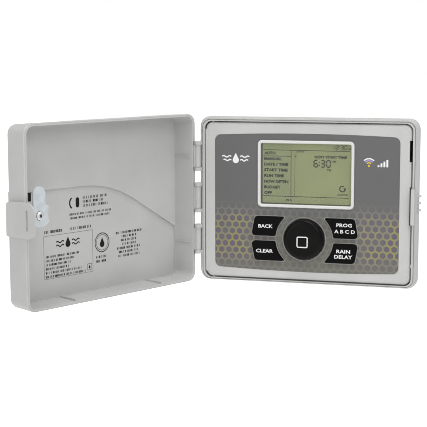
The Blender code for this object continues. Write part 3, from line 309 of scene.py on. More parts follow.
def lcd_glass():
    """Grey-green display: faint rubbing lines in the polariser and a slightly uneven backing."""
    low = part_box("screen_glass")[0]
    base = display(130, 136, 92)
    graph = Graph("lcd_polariser", base, 0.40, Specular_IOR_Level=0.12)
    x, _, z = graph.axes()[:3]
    cloud = graph.fit(graph.noise(26.0, 2.0), 0.3, 0.7)
    tone = graph.blend(cloud, shade(base, 0.96), shade(base, 1.05))
    # the menu's column is a little greener, and painted shade from the frame darkens the glass along its
    # left and lower edges
    menu = graph.fit(x, (MENU_RIGHT + 0.4) * MM, (MENU_RIGHT - 0.4) * MM)
    tone = graph.blend(graph.math("MULTIPLY", menu, 0.35), tone, display(116, 128, 98))
    frame_shadow = graph.math("MAXIMUM", graph.fit(x, low.x + 0.0033, low.x + 0.0025),
                     graph.fit(z, low.z + 0.0028, low.z + 0.0022))
    tone = graph.blend(graph.math("MULTIPLY", frame_shadow, 0.85), tone, display(38, 42, 18))
    weave = graph.noise(1.0, 1.0, 0.5, graph.vector("MULTIPLY", graph.place, (5200.0, 60.0, 60.0)))
    return graph.finish(tone, None, graph.bump(weave, 0.000003))


SHEET_THICK = 0.5 * MM                  # one sheet of the transformer's core


def laminations():
    """Edges of varnished steel sheets, stacked from front to back."""
    graph = Graph("laminated_steel", (0.10, 0.10, 0.11), 0.42, 0.85)
    y = graph.axes()[1]
    wave = graph.math("SINE", graph.math("MULTIPLY", y, math.tau / SHEET_THICK))
    tone = graph.blend(graph.fit(wave, -0.6, 0.8), (0.045, 0.045, 0.05), (0.17, 0.165, 0.16))
    rust = graph.fit(graph.noise(240.0, 4.0), 0.62, 0.74, 0.0, 0.5)
    tone = graph.blend(rust, tone, (0.16, 0.075, 0.03))
    return graph.finish(tone, graph.fit(graph.noise(300.0), 0.3, 0.7, 0.35, 0.55),
                        graph.bump(wave, 0.00006))


TAPE_LAP = 6.5 * MM                     # from one turn of tape to the next


def winding_tape():
    """Yellow polyester tape wound over the coil, each turn lapping the last."""
    graph = Graph("winding_tape", display(214, 168, 40), 0.3)
    z = graph.axes()[2]
    lap = graph.math("FRACT", graph.math("MULTIPLY", graph.math("ADD", z, 1.0), 1 / TAPE_LAP))
    step = graph.fit(lap, 0.0, 0.12)
    strands = graph.vector("MULTIPLY", graph.place, (120.0, 120.0, 4200.0))
    copper = graph.fit(graph.noise(1.0, 2.0, 0.5, strands), 0.4, 0.7)
    tone = graph.blend(graph.math("MULTIPLY", copper, 0.35), display(210, 164, 44), display(150, 84, 26))
    tone = graph.blend(graph.fit(lap, 0.93, 1.0), tone, display(160, 112, 24))
    return graph.finish(tone, None, graph.bump(step, 0.00012))


def circuit_board(name):
    """Solder mask over copper tracks, with tinned pads on a grid."""
    graph = Graph(name, (0.02, 0.15, 0.06), 0.28)
    x, _, z = graph.axes()[:3]
    grid = graph.node("ShaderNodeTexBrick", {
        "Vector": graph.join(x, z, 0.0), "Color1": (0.0, 0.0, 0.0, 1.0), "Color2": (0.25, 0.25, 0.25, 1.0),
        "Mortar": (1.0, 1.0, 1.0, 1.0), "Scale": 62.0, "Mortar Size": 0.035, "Brick Width": 0.9,
        "Row Height": 0.16}, offset_frequency=3).outputs[0]
    tracks = graph.axes(grid)[0]
    colour = graph.blend(graph.fit(tracks, 0.5, 0.9), (0.012, 0.105, 0.040), (0.035, 0.235, 0.080))
    dots = graph.node("ShaderNodeTexVoronoi", {"Vector": graph.join(x, z, 0.0), "Scale": 330.0,
                                               "Randomness": 0.55}).outputs["Distance"]
    pads = graph.fit(dots, 0.24, 0.19)
    scattered = graph.fit(graph.noise(45.0, 1.0), 0.52, 0.56)
    pads = graph.math("MULTIPLY", pads, scattered)
    colour = graph.blend(pads, colour, (0.52, 0.52, 0.48))
    height = graph.math("ADD", tracks, pads)
    return graph.finish(colour, graph.fit(pads, 0.0, 1.0, 0.30, 0.22), graph.bump(height, 0.00003))


def clear_window():
    """Clear polycarbonate: nearly invisible, with a soft reflection and faint wipe marks."""
    graph = Graph("clear_polycarbonate", (0.93, 0.95, 0.94), 0.06, Alpha=0.035)
    wiped = graph.noise(1.0, 3.0, 0.6, graph.vector("MULTIPLY", graph.place, (300.0, 60.0, 60.0)))
    return graph.finish(None, graph.fit(wiped, 0.45, 0.75, 0.04, 0.14))


def frosted_plastic():
    """Translucent natural nylon of the lock cam."""
    colour = display(196, 203, 206)
    graph = Graph("translucent_nylon", colour, 0.36, Subsurface_Weight=0.35, Subsurface_Scale=0.002)
    graph.put(graph.shader, "Subsurface Radius", (0.8, 1.0, 1.1))
    cloud = graph.noise(130.0, 3.0)
    tone = graph.blend(graph.fit(cloud, 0.35, 0.65), shade(colour, 0.93), shade(colour, 1.05))
    return graph.finish(tone, graph.fit(graph.noise(210.0), 0.3, 0.7, 0.3, 0.44),
                        graph.bump(graph.noise(900.0), 0.000010))


def ink(name, colour, roughness=0.45):
    """Pad-printed ink, slightly uneven; the dark one also paints shade round the lock and the latch."""
    graph = Graph(name, colour, roughness, Specular_IOR_Level=0.15)
    tone = graph.blend(graph.fit(graph.noise(1500.0, 2.0), 0.35, 0.65), shade(colour, 0.92), colour)
    return graph.finish(tone, graph.fit(graph.noise(500.0), 0.3, 0.7, roughness - 0.06, roughness + 0.06))


def ribbon_plastic():
    """Grey insulation of the ribbon cable: slightly glossy, with faint scuffs and a red edge."""
    graph = Graph("ribbon_insulation", grey(150), 0.42)
    z = graph.axes()[2]
    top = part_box("ribbon_cable")[1].z
    scuff = graph.noise(1.0, 3.0, 0.6, graph.vector("MULTIPLY", graph.place, (120.0, 120.0, 900.0)))
    tone = graph.blend(graph.fit(scuff, 0.35, 0.65), grey(143), grey(156))
    tone = graph.blend(graph.fit(z, top - 0.0014, top - 0.0011), tone, display(168, 40, 34))
    return graph.finish(tone, graph.fit(graph.noise(300.0), 0.3, 0.7, 0.36, 0.50),
                        graph.bump(graph.noise(2200.0), 0.000006))


def floor_paint():
    """White paper sweep: the camera sees it full white, and it lights the object less than that."""
    graph = Graph("pale_floor", (0.93, 0.93, 0.93), 0.7)
    tone = graph.blend(graph.noise(3.0, 2.0), (0.92, 0.92, 0.92), (0.95, 0.95, 0.95))
    seen_directly = graph.node("ShaderNodeLightPath").outputs["Is Camera Ray"]
    graph.put(graph.shader, "Emission Strength", graph.fit(seen_directly, 0.0, 1.0, FLOOR_LIGHT, 1.0))
    return graph.finish(tone)


# ---- meshes ---------------------------------------------------------------------------------
def mesh_object(name, bm, material):
    mesh = bpy.data.meshes.new(name)
    bm.to_mesh(mesh)
    bm.free()
    mesh.materials.append(material)
    thing = bpy.data.objects.new(name, mesh)
    bpy.context.scene.collection.objects.link(thing)
    return thing


class Plane:
    """A flat face to print on: a point on it, the reader's right, up, and the way it faces.

    Places on it are in millimetres from that point.
    """

    def __init__(self, origin, right):
        self.origin, self.right, self.up = Vector(origin), Vector(right).normalized(), UP
        self.out = self.right.cross(self.up).normalized()

    def at(self, x, z, lift):
        return self.origin + (self.right * x + self.up * z + self.out * lift) * MM

    def matrix(self, x, z, lift):
        turn = Matrix((self.right, self.up, self.out)).transposed().to_4x4()
        return Matrix.Translation(self.at(x, z, lift)) @ turn


def front_plane(node):
    """The front face of a node that looks straight forwards."""
    return Plane((0.0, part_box(node)[0].y, 0.0), RIGHT)


class Print:
    """Ink, and painted shade, on one plane, in its millimetres, collected into one mesh of thin closed
    solids.
    """

    def __init__(self, plane, lift=PRINT_LIFT):
        self.plane, self.low, self.high = plane, lift, lift + PRINT_DEPTH
        self.bm = bmesh.new()

    def row(self, points, lift):
        return [self.bm.verts.new(self.plane.at(x, z, lift)) for x, z in points]

    def slab(self, loop):
        """A filled outline, anticlockwise as the reader sees it."""
        low, high = self.row(loop, self.low), self.row(loop, self.high)
        self.bm.faces.new(high)
        self.bm.faces.new(low[::-1])
        for index in range(len(loop)):
            self.bm.faces.new((low[index - 1], low[index], high[index], high[index - 1]))

    def band(self, left, right, closed):
        """The strip between two rows of points."""
        left_top, left_low = self.row(left, self.high), self.row(left, self.low)
        right_top, right_low = self.row(right, self.high), self.row(right, self.low)
        for this in range(0 if closed else 1, len(left)):
            last = this - 1
            self.bm.faces.new((right_top[last], right_top[this], left_top[this], left_top[last]))
            self.bm.faces.new((left_low[last], left_low[this], right_low[this], right_low[last]))
            self.bm.faces.new((left_top[last], left_top[this], left_low[this], left_low[last]))
            self.bm.faces.new((right_low[last], right_low[this], right_top[this], right_top[last]))
        if not closed:
            for end in (0, -1):
                corner = [left_top[end], left_low[end], right_low[end], right_top[end]]
                self.bm.faces.new(corner if end == 0 else corner[::-1])

    def stroke(self, points, width, closed=False):
        """A line of even width through (x, z) points."""
        points = [Vector(point) for point in points]
        count = len(points)
        left, right = [], []
        for index, point in enumerate(points):
            before = points[index - 1] if closed or index else None
            after = points[(index + 1) % count] if closed or index + 1 < count else None
            along = [(point - before).normalized()] if before is not None else []
            along += [(after - point).normalized()] if after is not None else []
            mean = sum(along, Vector((0.0, 0.0))).normalized()
            side = Vector((-mean.y, mean.x))
            mitre = max(abs(side.dot(Vector((-along[0].y, along[0].x)))), SHARPEST_MITRE)
            left.append(point + side * (width / 2 / mitre))
            right.append(point - side * (width / 2 / mitre))
        self.band(left, right, closed)

    def bar(self, x, z, width, height):
        self.slab([(x - width / 2, z - height / 2), (x + width / 2, z - height / 2),
                   (x + width / 2, z + height / 2), (x - width / 2, z + height / 2)])

    def arc(self, x, z, radius, width, steps, start=0.0, end=360.0):
        full = end - start >= 360.0
        turns = [math.radians(start + (end - start) * step / steps)
                 for step in range(steps if full else steps + 1)]
        self.stroke([(x + radius * math.cos(turn), z + radius * math.sin(turn)) for turn in turns],
                    width, closed=full)

    def disc(self, x, z, radius, steps=20):
        turns = [math.tau * step / steps for step in range(steps)]
        self.slab([(x + radius * math.cos(turn), z + radius * math.sin(turn)) for turn in turns])

    def droplet(self, x, z, height):
        """A water drop: a round belly under a point."""
        belly = height * 0.31
        turns = [math.radians(-215 + 250 * step / 18) for step in range(19)]
        low = z - height / 2 + belly
        self.slab([(x + belly * math.cos(turn), low + belly * math.sin(turn)) for turn in turns]
                  + [(x, z + height / 2)])

    def ripple(self, x, z, reach, height, width, steps):
        """One and a half waves from (x, z), to the right or, with a negative reach, to the left."""
        self.stroke([(x + reach * step / steps, z + height * math.sin(step / steps * math.tau * 1.5))
                     for step in range(steps + 1)], width)

    def words(self, text, x, z, cap, width, weight, from_left=False):
        """Lettering of a given height and width, about (x, z) or running right from there."""
        curve = bpy.data.curves.new("lettering", "FONT")
        curve.body, curve.size, curve.offset = text, 1.0, weight
        curve.align_x, curve.align_y = "LEFT", "BOTTOM_BASELINE"
        curve.resolution_u = 2
        curve.extrude = 0.5
        holder = bpy.data.objects.new("lettering", curve)
        bpy.context.scene.collection.objects.link(holder)
        drawn = holder.evaluated_get(bpy.context.evaluated_depsgraph_get())
        mesh = bpy.data.meshes.new_from_object(drawn)
        bpy.data.objects.remove(holder)
        xs = [vert.co.x for vert in mesh.vertices]
        ys = [vert.co.y for vert in mesh.vertices]
        anchor = min(xs) if from_left else (min(xs) + max(xs)) / 2
        middle = (min(ys) + max(ys)) / 2
        wide, tall = width / (max(xs) - min(xs)), cap / (max(ys) - min(ys))
        mesh.transform(self.plane.matrix(x, z, (self.low + self.high) / 2)
                       @ Matrix.Diagonal((wide * MM, tall * MM, (self.high - self.low) * MM, 1.0))
                       @ Matrix.Translation((-anchor, -middle, 0.0)))
        self.bm.from_mesh(mesh)
        bpy.data.meshes.remove(mesh)

    def finish(self, name, material, body, slot):
        bmesh.ops.remove_doubles(self.bm, verts=self.bm.verts, dist=1e-7)
        bmesh.ops.recalc_face_normals(self.bm, faces=self.bm.faces)
        piece = mesh_object(name, self.bm, material)
        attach(piece, body)


def rounded(x, z, width, height, radius, steps=5):
    """The outline of a rectangle with round corners, about (x, z)."""
    points = []
    for quarter, (side, top) in enumerate(((1, 1), (-1, 1), (-1, -1), (1, -1))):
        for step in range(steps + 1):
            angle = (quarter + step / steps) * math.pi / 2
            points.append((x + side * (width / 2 - radius) + radius * math.cos(angle),
                           z + top * (height / 2 - radius) + radius * math.sin(angle)))
    return points


def skin(bm, rings):
    """The walls between closed rings of vertices that follow one another."""
    for last, this in zip(rings, rings[1:]):
        for index in range(len(this)):
            bm.faces.new((last[index - 1], last[index], this[index], this[index - 1]))


def paint_nodes(material, *names):
    for name in names:
        for held in NODES[name].material_slots:
            held.material = material


# ---- control panel --------------------------------------------------------------------------
WIDEST_KEY_HOLE = 60.0                  # in the label, for a key or the dial; the display's is wider
DROP_MARK, RADIO_MARK = (-86.4, 49.6), (74.0, 44.6)
SEGMENTS = {"0": "abcdef", "1": "bc", "2": "abged", "3": "abgcd", "6": "afgcde", "8": "abcdefg"}


def label_loops():
    """The outlines of the label's front and of the holes in it, as lists of (x, z)."""
    mesh = NODES["control_label"].data
    bm = bmesh.new()
    bm.from_mesh(mesh)
    bmesh.ops.remove_doubles(bm, verts=bm.verts, dist=1e-6)
    front = min(vert.co.y for vert in bm.verts)
    following = {}
    for edge in bm.edges:
        if any(abs(vert.co.y - front) > 1e-5 for vert in edge.verts) or len(edge.link_faces) != 2:
            continue
        flat = [face for face in edge.link_faces if abs(face.normal.y) > 0.9]
        if len(flat) == 1:
            for vert in edge.verts:
                following.setdefault(vert.index, []).append(edge.other_vert(vert).index)
    places = {vert.index: (vert.co.x / MM, vert.co.z / MM) for vert in bm.verts}
    bm.free()
    loops, seen = [], set()
    for start in sorted(following):
        if start in seen:
            continue
        loop, here = [], start
        while here is not None:
            seen.add(here)
            loop.append(places[here])
            here = next((other for other in following[here] if other not in seen), None)
        loops.append(loop)
    return loops


def grow(loop, amount):
    """A loop of (x, z) points moved outwards."""
    points = [Vector(point) for point in loop]
    area = sum(points[i - 1].x * points[i].y - points[i].x * points[i - 1].y for i in range(len(points)))
    turn = 1.0 if area > 0 else -1.0
    grown = []
    for index, point in enumerate(points):
        before = (point - points[index - 1]).normalized()
        after = (points[(index + 1) % len(points)] - point).normalized()
        along = (before + after).normalized()
        grown.append(point + Vector((along.y, -along.x)) * turn * amount)
    return grown


def build_label():
    """Silver rims round the holes for the keys and the dial, and a mark on each side of the display."""
    plane = front_plane("control_label")
    rims = Print(plane)
    for loop in label_loops():
        xs, zs = zip(*loop)
        if max(xs) - min(xs) < WIDEST_KEY_HOLE and max(zs) < 0.0:
            rims.stroke(grow(loop, 0.55), 0.7, closed=True)
    rims.finish("label_key_outlines", INK_SILVER, "panel", "printed_label")

    # left mark: a drop between two ripples
    white, yellow, lilac = Print(plane), Print(plane), Print(plane)
    x, z = DROP_MARK
    white.droplet(x, z + 0.6, 12.4)
    for side in (-1, 1):
        for row, reach in ((2.4, 11.2), (-2.0, 9.6)):
            white.ripple(x + side * 5.6, z + row, side * reach, 0.9, 1.4, 12)

    # right mark: radio waves over a dot, beside four rising bars
    x, z = RADIO_MARK
    yellow.disc(x, z, 1.3)
    for ink_print, radius in ((yellow, 3.5), (lilac, 5.9), (white, 8.3)):
        ink_print.arc(x, z, radius, 1.4, 12, 45.0, 135.0)
    for number in range(4):
        height = 2.4 + 2.1 * number
        white.slab(rounded(x + 11.2 + number * 3.4, z - 1.3 + height / 2, 2.1, height, 0.6, 3))
    white.finish("label_marks_white", INK_WHITE, "panel", "printed_label")
    yellow.finish("label_mark_yellow", INK_YELLOW, "panel", "printed_label")
    lilac.finish("label_mark_lilac", INK_LILAC, "panel", "printed_label")


def seven_segments(ink_print, digit, x, z, width, height, thick):
    """One display digit, made of bevelled bars."""
    half, rise, cut = width / 2, height / 2, thick / 2
    ends = {"a": ((-half, rise), (half, rise)), "b": ((half, rise), (half, 0.0)),
            "c": ((half, 0.0), (half, -rise)), "d": ((-half, -rise), (half, -rise)),
            "e": ((-half, 0.0), (-half, -rise)), "f": ((-half, rise), (-half, 0.0)),
            "g": ((-half, 0.0), (half, 0.0))}
    for name in SEGMENTS[digit]:
        start, end = (Vector((x, z)) + Vector(point) for point in ends[name])
        along = (end - start).normalized()
        side = Vector((-along.y, along.x)) * cut
        start, end = start + along * cut * 0.35, end - along * cut * 0.35
        ink_print.slab([start, start + along * cut - side, end - along * cut - side, end,
                        end - along * cut + side, start + along * cut + side])


def build_screen():
    """What the display shows: rules, a menu, the next start, the clock and a few resting segments."""
    plane = front_plane("screen_glass")
    dark, faint = Print(plane), Print(plane, PRINT_LIFT / 2)

    # rules: under the head line, round the menu and the field, and over the foot line
    left, right, field_left, foot = -52.6, 51.2, -14.4, 6.4
    for start, end, width in (((left, 60.8), (right, 60.6), 0.7), ((left, 53.5), (MENU_RIGHT, 53.5), 0.7),
                              ((MENU_RIGHT, 60.4), (MENU_RIGHT, foot), 0.7),
                              ((field_left, 57.0), (field_left, foot), 0.4),
                              ((-53.0, 5.8), (50.4, 5.5), 0.7)):
        dark.stroke([start, end], width)
    faint.stroke([(field_left, 57.0), (right, 57.0)], 0.3)

    # menu
    for text, z, width in (("AUTO", 57.0, 14.0), ("MANUAL", 50.2, 21.4), ("DATE / TIME", 43.6, 29.4),
                           ("START TIME", 36.9, 28.8), ("RUN TIME", 30.0, 24.4),
                           ("HOW OFTEN", 23.1, 29.6), ("BUDGET", 16.3, 20.0), ("OFF", 9.6, 9.6)):
        dark.words(text, -51.8, z, 3.7, width, 0.055, from_left=True)

    # next start: the time and the day
    dark.words("NEXT START TIME", 28.4, 53.4, 3.2, 38.4, 0.05)
    for digit, x in (("6", 10.8), ("3", 19.2), ("0", 26.0)):
        seven_segments(dark, digit, x, 45.5, 4.4, 7.8, 1.6)
    seven_segments(faint, "8", 3.6, 45.5, 4.4, 7.2, 0.8)
    for z in (47.3, 43.7):
        dark.disc(15.0, z, 0.75, 10)
    dark.words("AM", 32.4, 48.3, 2.2, 4.8, 0.030)
    dark.words("TH", 26.6, 38.0, 2.9, 5.4, 0.040)

    # head line: the clock, and two resting digits
    for digit, x in (("1", 32.0), ("2", 36.4), ("3", 42.0), ("0", 46.4)):
        seven_segments(dark, digit, x, 64.8, 2.8, 5.0, 1.0)
    for z in (66.0, 64.0):
        dark.disc(39.2, z, 0.5, 8)
    dark.words("AM", 50.8, 63.6, 2.1, 3.8, 0.050)
    for digit, x in (("1", -48.0), ("2", -44.6)):
        seven_segments(faint, digit, x, 66.0, 2.0, 3.6, 0.5)

    # field: the zone, its pointer, and a turning arrow
    dark.words("ZONE", -8.2, 59.1, 1.8, 8.4, 0.030)
    dark.slab([(field_left, 53.0), (field_left + 2.2, 53.0), (field_left + 1.1, 54.9)])
    dark.arc(42.9, 16.3, 3.3, 1.3, 26, 60.0, 375.0)
    dark.slab([(44.6, 14.6), (47.6, 16.6), (44.2, 17.7)])
    dark.words("ACTIVE", 43.0, 9.3, 2.2, 12.4, 0.030)

    # foot line: the programme, and a row of resting blocks
    dark.words("PRG", -21.3, 1.2, 2.5, 6.6, 0.035)
    for number in range(7):
        faint.slab(rounded(-6.0 + number * 8.6, 1.2, 6.0, 2.6, 0.5, 2))
    dark.finish("screen_segments", LCD_DARK, "panel", "screen")
    faint.finish("screen_resting_segments", LCD_FAINT, "panel", "screen")


def build_legends():
    """Lettering on the four keys, in their own planes, and the square on the dial."""
    legends = {
        "back_key": ("key_back", [("BACK", -48.8, -30.2, 17.6)]),
        "clear_key": ("key_clear", [("CLEAR", -50.0, -60.2, 20.8)]),
        "program_key": ("key_program", [("PROG", 46.2, -26.0, 18.4), ("A B C D", 46.8, -33.5, 24.6)]),
        "rain_delay_key": ("key_rain_delay", [("RAIN", 45.4, -57.2, 16.4), ("DELAY", 45.5, -63.7, 21.4)])}
    for body, (node, lines) in legends.items():
        mark = Print(front_plane(node))
        for text, x, z, width in lines:
            mark.words(text, x, z, 4.3, width, 0.022)
        mark.finish(f"legend_{node}", INK_WHITE, body, "black_plastic")

    # the square stands a little to the left of the knob's middle and below it
    low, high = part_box("dial_knob")
    x, z = (low.x + high.x) / 2 / MM, (low.z + high.z) / 2 / MM
    face = Print(front_plane("dial_knob"))
    face.stroke(rounded(x - 0.6, z - 2.4, 12.2, 12.2, 1.6), 1.2, closed=True)
    face.finish("dial_square", INK_WHITE, "dial", "black_plastic")


def build_bezel_bead():
    """A bead that squares off the bezel's edge beside its hinge, clear of the lip as the panel turns."""
    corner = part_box("panel_bezel")[0]
    # the section, in millimetres: in from the bezel's side, and back from its face
    section = ((3.2, -0.1), (0.2, -0.1), (-0.4, 0.3), (-0.7, 1.2), (-0.7, 4.0), (-0.1, 4.0), (-0.1, 2.8),
               (0.9, 0.8), (3.1, -0.02))
    bm = bmesh.new()
    rings = []
    # at both ends the part that stands out of the side runs in
    for z, share in ((-88.0, 0.4), (-86.8, 1.0), (83.4, 1.0), (84.6, 0.4)):
        outline = [(x * share if x < 0.0 else x, y) for x, y in section]
        rings.append([bm.verts.new((corner.x + x * MM, corner.y + y * MM, z * MM)) for x, y in outline])
    skin(bm, rings)
    bm.faces.new(rings[0])
    bm.faces.new(rings[-1])
    bmesh.ops.recalc_face_normals(bm, faces=bm.faces)
    piece = mesh_object("bezel_bead", bm, BEZEL)
    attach(piece, "panel")


# ---- door -----------------------------------------------------------------------------------
DOOR_FLOOR = 33.0                       # the lower field's inner face, outwards from the hinge axis


def door_plane(outwards):
    """The door's inside, as the reader sees it at rest: x is 0 at the hinge and negative on the door."""
    hinge = JOINTS["door_hinge"]
    turn = math.radians(-hinge["range_deg"][0])
    away = Vector((math.cos(turn), -math.sin(turn), 0.0))
    outward = Vector((-math.sin(turn), -math.cos(turn), 0.0))
    return Plane(Vector(hinge["pos_m"]) + outward * outwards * MM, -away)


def letter_like(ink_print, x, z, width, height):
    """A small shape that reads as a letter from afar and says nothing close by."""
    thick = height * 0.28
    form = random.choice("iluontec")
    middle = x + width / 2
    ink_print.bar(middle if form == "i" else x + thick / 2, z, thick, height)
    if form in "uon":
        ink_print.bar(x + width - thick / 2, z, thick, height)
    inner = width - 2.2 * thick
    if form in "otec":
        ink_print.bar(middle, z + height / 2 - thick / 2, inner, thick)
    if form in "luoec":
        ink_print.bar(middle, z - height / 2 + thick / 2, inner, thick)
    if form in "ne":
        ink_print.bar(middle, z, inner, thick)


def nonsense(ink_print, left, right, z, height):
    """A line of letter-like marks in words, from left to right."""
    x = left
    while x < right - height * 0.5:
        for _ in range(random.randint(2, 8)):
            width = height * random.uniform(0.50, 0.70)
            if x + width > right:
                break
            letter_like(ink_print, x, z, width, height)
            x += width + height * 0.20
        x += height * 0.50


def build_door_print():
    """Plain signs and rows of letter-like marks on the door's lower field."""
    mark = Print(door_plane(DOOR_FLOOR))

    # head: a rounded bar beside an arc, three short lines, and two long ones under them
    mark.slab(rounded(-165.8, 8.2, 5.2, 11.6, 2.5))
    mark.arc(-170.5, 8.2, 7.0, 1.9, 12, 125.0, 235.0)
    for z, right in ((12.9, -119.0), (8.3, -124.0), (3.6, -117.5)):
        nonsense(mark, -157.5, right, z, 2.9)
    for z, right in ((-4.7, -113.8), (-9.1, -115.0)):
        nonsense(mark, -178.0, right, z, 2.3)

    # rating box under two short lines: a drop between ripples over six lines, and a small boxed drop
    for left, right in ((-216.0, -190.0), (-178.0, -144.5)):
        nonsense(mark, left, right, -20.9, 3.1)
    mark.stroke(rounded(-180.1, -49.6, 73.2, 48.4, 0.5, 2), 0.30, closed=True)
    x = -181.1
    mark.droplet(x, -35.0, 12.0)
    for side in (-1, 1):
        for z in (-38.0, -33.8):
            mark.ripple(x + side * 6.0, z, side * 11.5, 1.0, 1.3, 14)
    for row, right in enumerate((-163.0, -171.0, -176.0, -180.0, -160.0, -154.5)):
        nonsense(mark, -214.2, right, -48.9 - row * 4.5, 2.5)
    mark.stroke(rounded(-148.8, -67.8, 6.6, 7.2, 0.8, 3), 0.4, closed=True)
    mark.droplet(-148.8, -67.6, 4.4)

    # round mark: a drop in two rings, over two short lines
    x, z = -128.6, -41.9
    mark.arc(x, z, 11.0, 1.0, 40)
    mark.arc(x, z, 9.0, 0.5, 36)
    mark.droplet(x, z + 0.2, 11.6)
    for z, right in ((-58.4, -119.5), (-63.4, -121.0)):
        nonsense(mark, -138.0, right, z, 2.9)

    # text block beside it, seven centred lines
    x = -85.0
    for row, half in enumerate((21.5, 12.0, 13.0, 11.0, 19.5, 17.0, 18.0)):
        nonsense(mark, x - half, x + half, -33.8 - row * 4.6, 2.7)
    mark.finish("door_print", DARK_PRINT_AND_PAINTED_SHADE, "door", "grey_plastic")


def build_lock_marks():
    """Painted shade by the lock: a dark ring round the cam's screw, dark in the screw's cross, and a painted
    shadow beside the cam.
    """
    flat, pivot = door_plane(0.0), Vector(JOINTS["lock_turn"]["pos_m"])
    x, z = (pivot - flat.origin).dot(flat.right) / MM, pivot.z / MM

    def height(name):
        """How far a node's face stands off the plane, in millimetres."""
        held = NODES[name]
        return max((held.matrix_world @ vert.co - flat.origin).dot(flat.out)
                   for vert in held.data.vertices) / MM

    # painted shadow: a dark ring on the cam stands for the shade in the gap round the screw's head
    screw_shadow_ring = Print(flat, height("lock_cam") + PRINT_LIFT)
    screw_shadow_ring.arc(x, z, 5.0, 0.45, 20, 95.0, 265.0)
    screw_shadow_ring.finish("lock_screw_shadow_ring", DARK_PRINT_AND_PAINTED_SHADE, "lock", "frosted_plastic")
    # painted shade: dark bars at the floor of the screw's cross recess, where shade lies
    cross = Print(flat, height("lock_cam_screw") - 0.35)
    for turn in (math.radians(45.0), math.radians(135.0)):
        reach = Vector((math.cos(turn), math.sin(turn))) * 2.3
        cross.stroke([Vector((x, z)) - reach, Vector((x, z)) + reach], 1.15)
    cross.finish("lock_screw_cross", DARK_PRINT_AND_PAINTED_SHADE, "lock", "frosted_plastic")
    # painted shadow: a dark patch on the door's floor beside the cam, where shade falls into the latch's
    # recess
    slot = Print(door_plane(DOOR_FLOOR))
    slot.slab(rounded(x + 12.0, z + 16.6, 5.0, 9.6, 0.6, 3))
    slot.finish("latch_painted_shadow", DARK_PRINT_AND_PAINTED_SHADE, "door", "grey_plastic")


# ---- ribbon cable ---------------------------------------------------------------------------
WIRES, WIRE_FACETS = 16, 4
WIRE_VALLEY, WIRE_RIDGE = 0.22 * MM, 0.26 * MM      # half the web's thickness, and the rise over a wire
CURVE_STEPS = 14


def bezier(start, first, second, end):
    """Points of a cubic curve in (x, y)."""
    held = [Vector(point) for point in (start, first, second, end)]
    points = []
    for step in range(CURVE_STEPS + 1):
        t = step / CURVE_STEPS
        share = ((1 - t) ** 3, 3 * t * (1 - t) ** 2, 3 * t * t * (1 - t), t ** 3)
        points.append(sum((point * part for point, part in zip(held, share)), Vector((0.0, 0.0))))
    return points


def build_ribbon():
    """Ribbed flat cable: from the board it turns back on itself and runs on to the panel."""
    low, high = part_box("ribbon_cable")
    board, turn, run, panel = (-0.0160, -0.0208), (0.0040, -0.0360), (-0.0450, -0.0445), (-0.0900, -0.0523)
    route = bezier(board, (-0.0160, -0.0320), (0.0040, -0.0240), turn)
    route += bezier(turn, (0.0040, -0.0480), (-0.0200, -0.0445), run)[1:]
    route += bezier(run, (-0.0750, -0.0445), (-0.0900, -0.0430), panel)[1:]
    across = [(low.z + (high.z - low.z) * step / (WIRES * WIRE_FACETS),
               WIRE_VALLEY + WIRE_RIDGE * abs(math.sin(math.pi * step / WIRE_FACETS)))
              for step in range(WIRES * WIRE_FACETS + 1)]
    bm = bmesh.new()
    rings = []
    for index, point in enumerate(route):
        along = (route[min(index + 1, len(route) - 1)] - route[max(index - 1, 0)]).normalized()
        side = Vector((-along.y, along.x))
        outline = [(point + side * half, z) for z, half in across]
        outline += [(point - side * half, z) for z, half in reversed(across)]
        rings.append([bm.verts.new((place.x, place.y, z)) for place, z in outline])
    skin(bm, rings)
    for end in (rings[0], rings[-1]):
        for index in range(len(across) - 1):
            bm.faces.new((end[index], end[index + 1], end[-2 - index], end[-1 - index]))
    bmesh.ops.recalc_face_normals(bm, faces=bm.faces)
    piece = mesh_object("ribbon_strip", bm, ribbon_plastic())
    piece.data.shade_smooth()
    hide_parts("ribbon_cable")
    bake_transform(piece)


# ---- materials ------------------------------------------------------------------------------
SHELL = plastic("grey_moulded_plastic", display(186, 186, 184), 0.46)
DOOR = plastic("door_moulded_plastic", display(187, 187, 186), 0.48)
BEZEL = plastic("bezel_moulded_plastic", display(190, 190, 188), 0.42, depth=0.000008)
COVER = plastic("dark_moulded_plastic", display(92, 93, 94), 0.5)
FRAME = plastic("screen_frame_plastic", display(212, 212, 210), 0.34, depth=0.000004, mottle=0.012)
NATURAL = plastic("natural_nylon", display(222, 220, 210), 0.42)
KEY = plastic("black_key_plastic", display(4, 4, 4), 0.36, 2200.0, 0.000006, 0.06, Specular_IOR_Level=0.10)
DIAL = plastic("black_dial_plastic", display(7, 7, 6), 0.30, 2600.0, 0.000005, 0.06, Specular_IOR_Level=0.15)
TERMINAL = plastic("terminal_plastic", display(46, 122, 84), 0.42)
RUBBER = plastic("black_rubber", display(38, 38, 38), 0.72, 900.0, 0.000030, 0.08)
MAT = plastic("silicone_mat", display(66, 66, 70), 0.55, 700.0, 0.000010)
STEEL = metal("zinc_plated_steel", (0.66, 0.66, 0.67), 0.26)
DULL_ZINC = metal("dull_zinc", (0.82, 0.83, 0.83), 0.52)
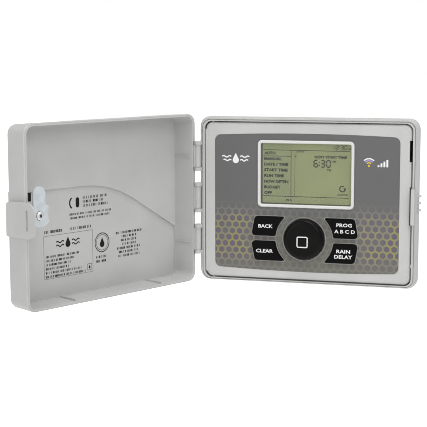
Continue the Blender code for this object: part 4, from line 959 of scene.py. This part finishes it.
NICKEL = metal("nickel_plate", (0.74, 0.73, 0.70), 0.18)
FLOOR_PAINT = floor_paint()
INK_WHITE = ink("ink_white", display(238, 238, 238))
INK_SILVER = ink("ink_silver", display(168, 168, 164))
INK_YELLOW = ink("ink_yellow", display(222, 190, 60))
INK_LILAC = ink("ink_lilac", display(172, 158, 206))
# dark ink for the door's print, also used as painted shade by the lock's screw and the latch
DARK_PRINT_AND_PAINTED_SHADE = ink("dark_print_and_painted_shade", display(24, 24, 24))
LCD_DARK = ink("lcd_dark", display(12, 16, 6), 0.5)
LCD_FAINT = ink("lcd_faint", display(126, 134, 95), 0.5)

paint_nodes(SHELL, "cabinet_shell", "door_hinge_pin_top", "door_hinge_pin_middle",
            "door_hinge_pin_bottom", "knockout_plug")
paint_nodes(DOOR, "door_shell")
paint_nodes(BEZEL, "panel_bezel")
paint_nodes(COVER, "transformer_cover", "panel_rear_cover", "battery_cover")
paint_nodes(FRAME, "screen_frame")
paint_nodes(NATURAL, "board_connector", "screen_holder", "dial_push_collar", "battery_holder")
paint_nodes(KEY, "key_back", "key_clear", "key_program", "key_rain_delay")
paint_nodes(DIAL, "dial_knob")
paint_nodes(TERMINAL, "terminal_block", "panel_connector")
paint_nodes(RUBBER, "conduit_grommet")
paint_nodes(MAT, "key_mat")
paint_nodes(NICKEL, "coin_cell", "lock_core")
paint_nodes(STEEL, *(name for name in NODES if name.startswith(
    ("panel_pin", "transformer_cover_screw", "terminal_board_screw", "lock_barrel", "lock_nut",
     "dial_shaft", "dial_encoder", "radio_module", "rear_cover_screw"))))
paint_nodes(DULL_ZINC, "lock_cam_screw")
paint_nodes(honeycomb_label(), "control_label")
paint_nodes(lcd_glass(), "screen_glass")
paint_nodes(clear_window(), "screen_window")
paint_nodes(frosted_plastic(), "lock_cam")
paint_nodes(laminations(), "transformer_core")
paint_nodes(winding_tape(), "transformer_winding")
paint_nodes(circuit_board("terminal_board_mask"), "terminal_board")
paint_nodes(circuit_board("main_board_mask"), "main_board")

build_camera()
build_studio()
build_floor()
build_label()
build_screen()
build_legends()
build_door_print()
build_lock_marks()
build_bezel_bead()
build_ribbon()
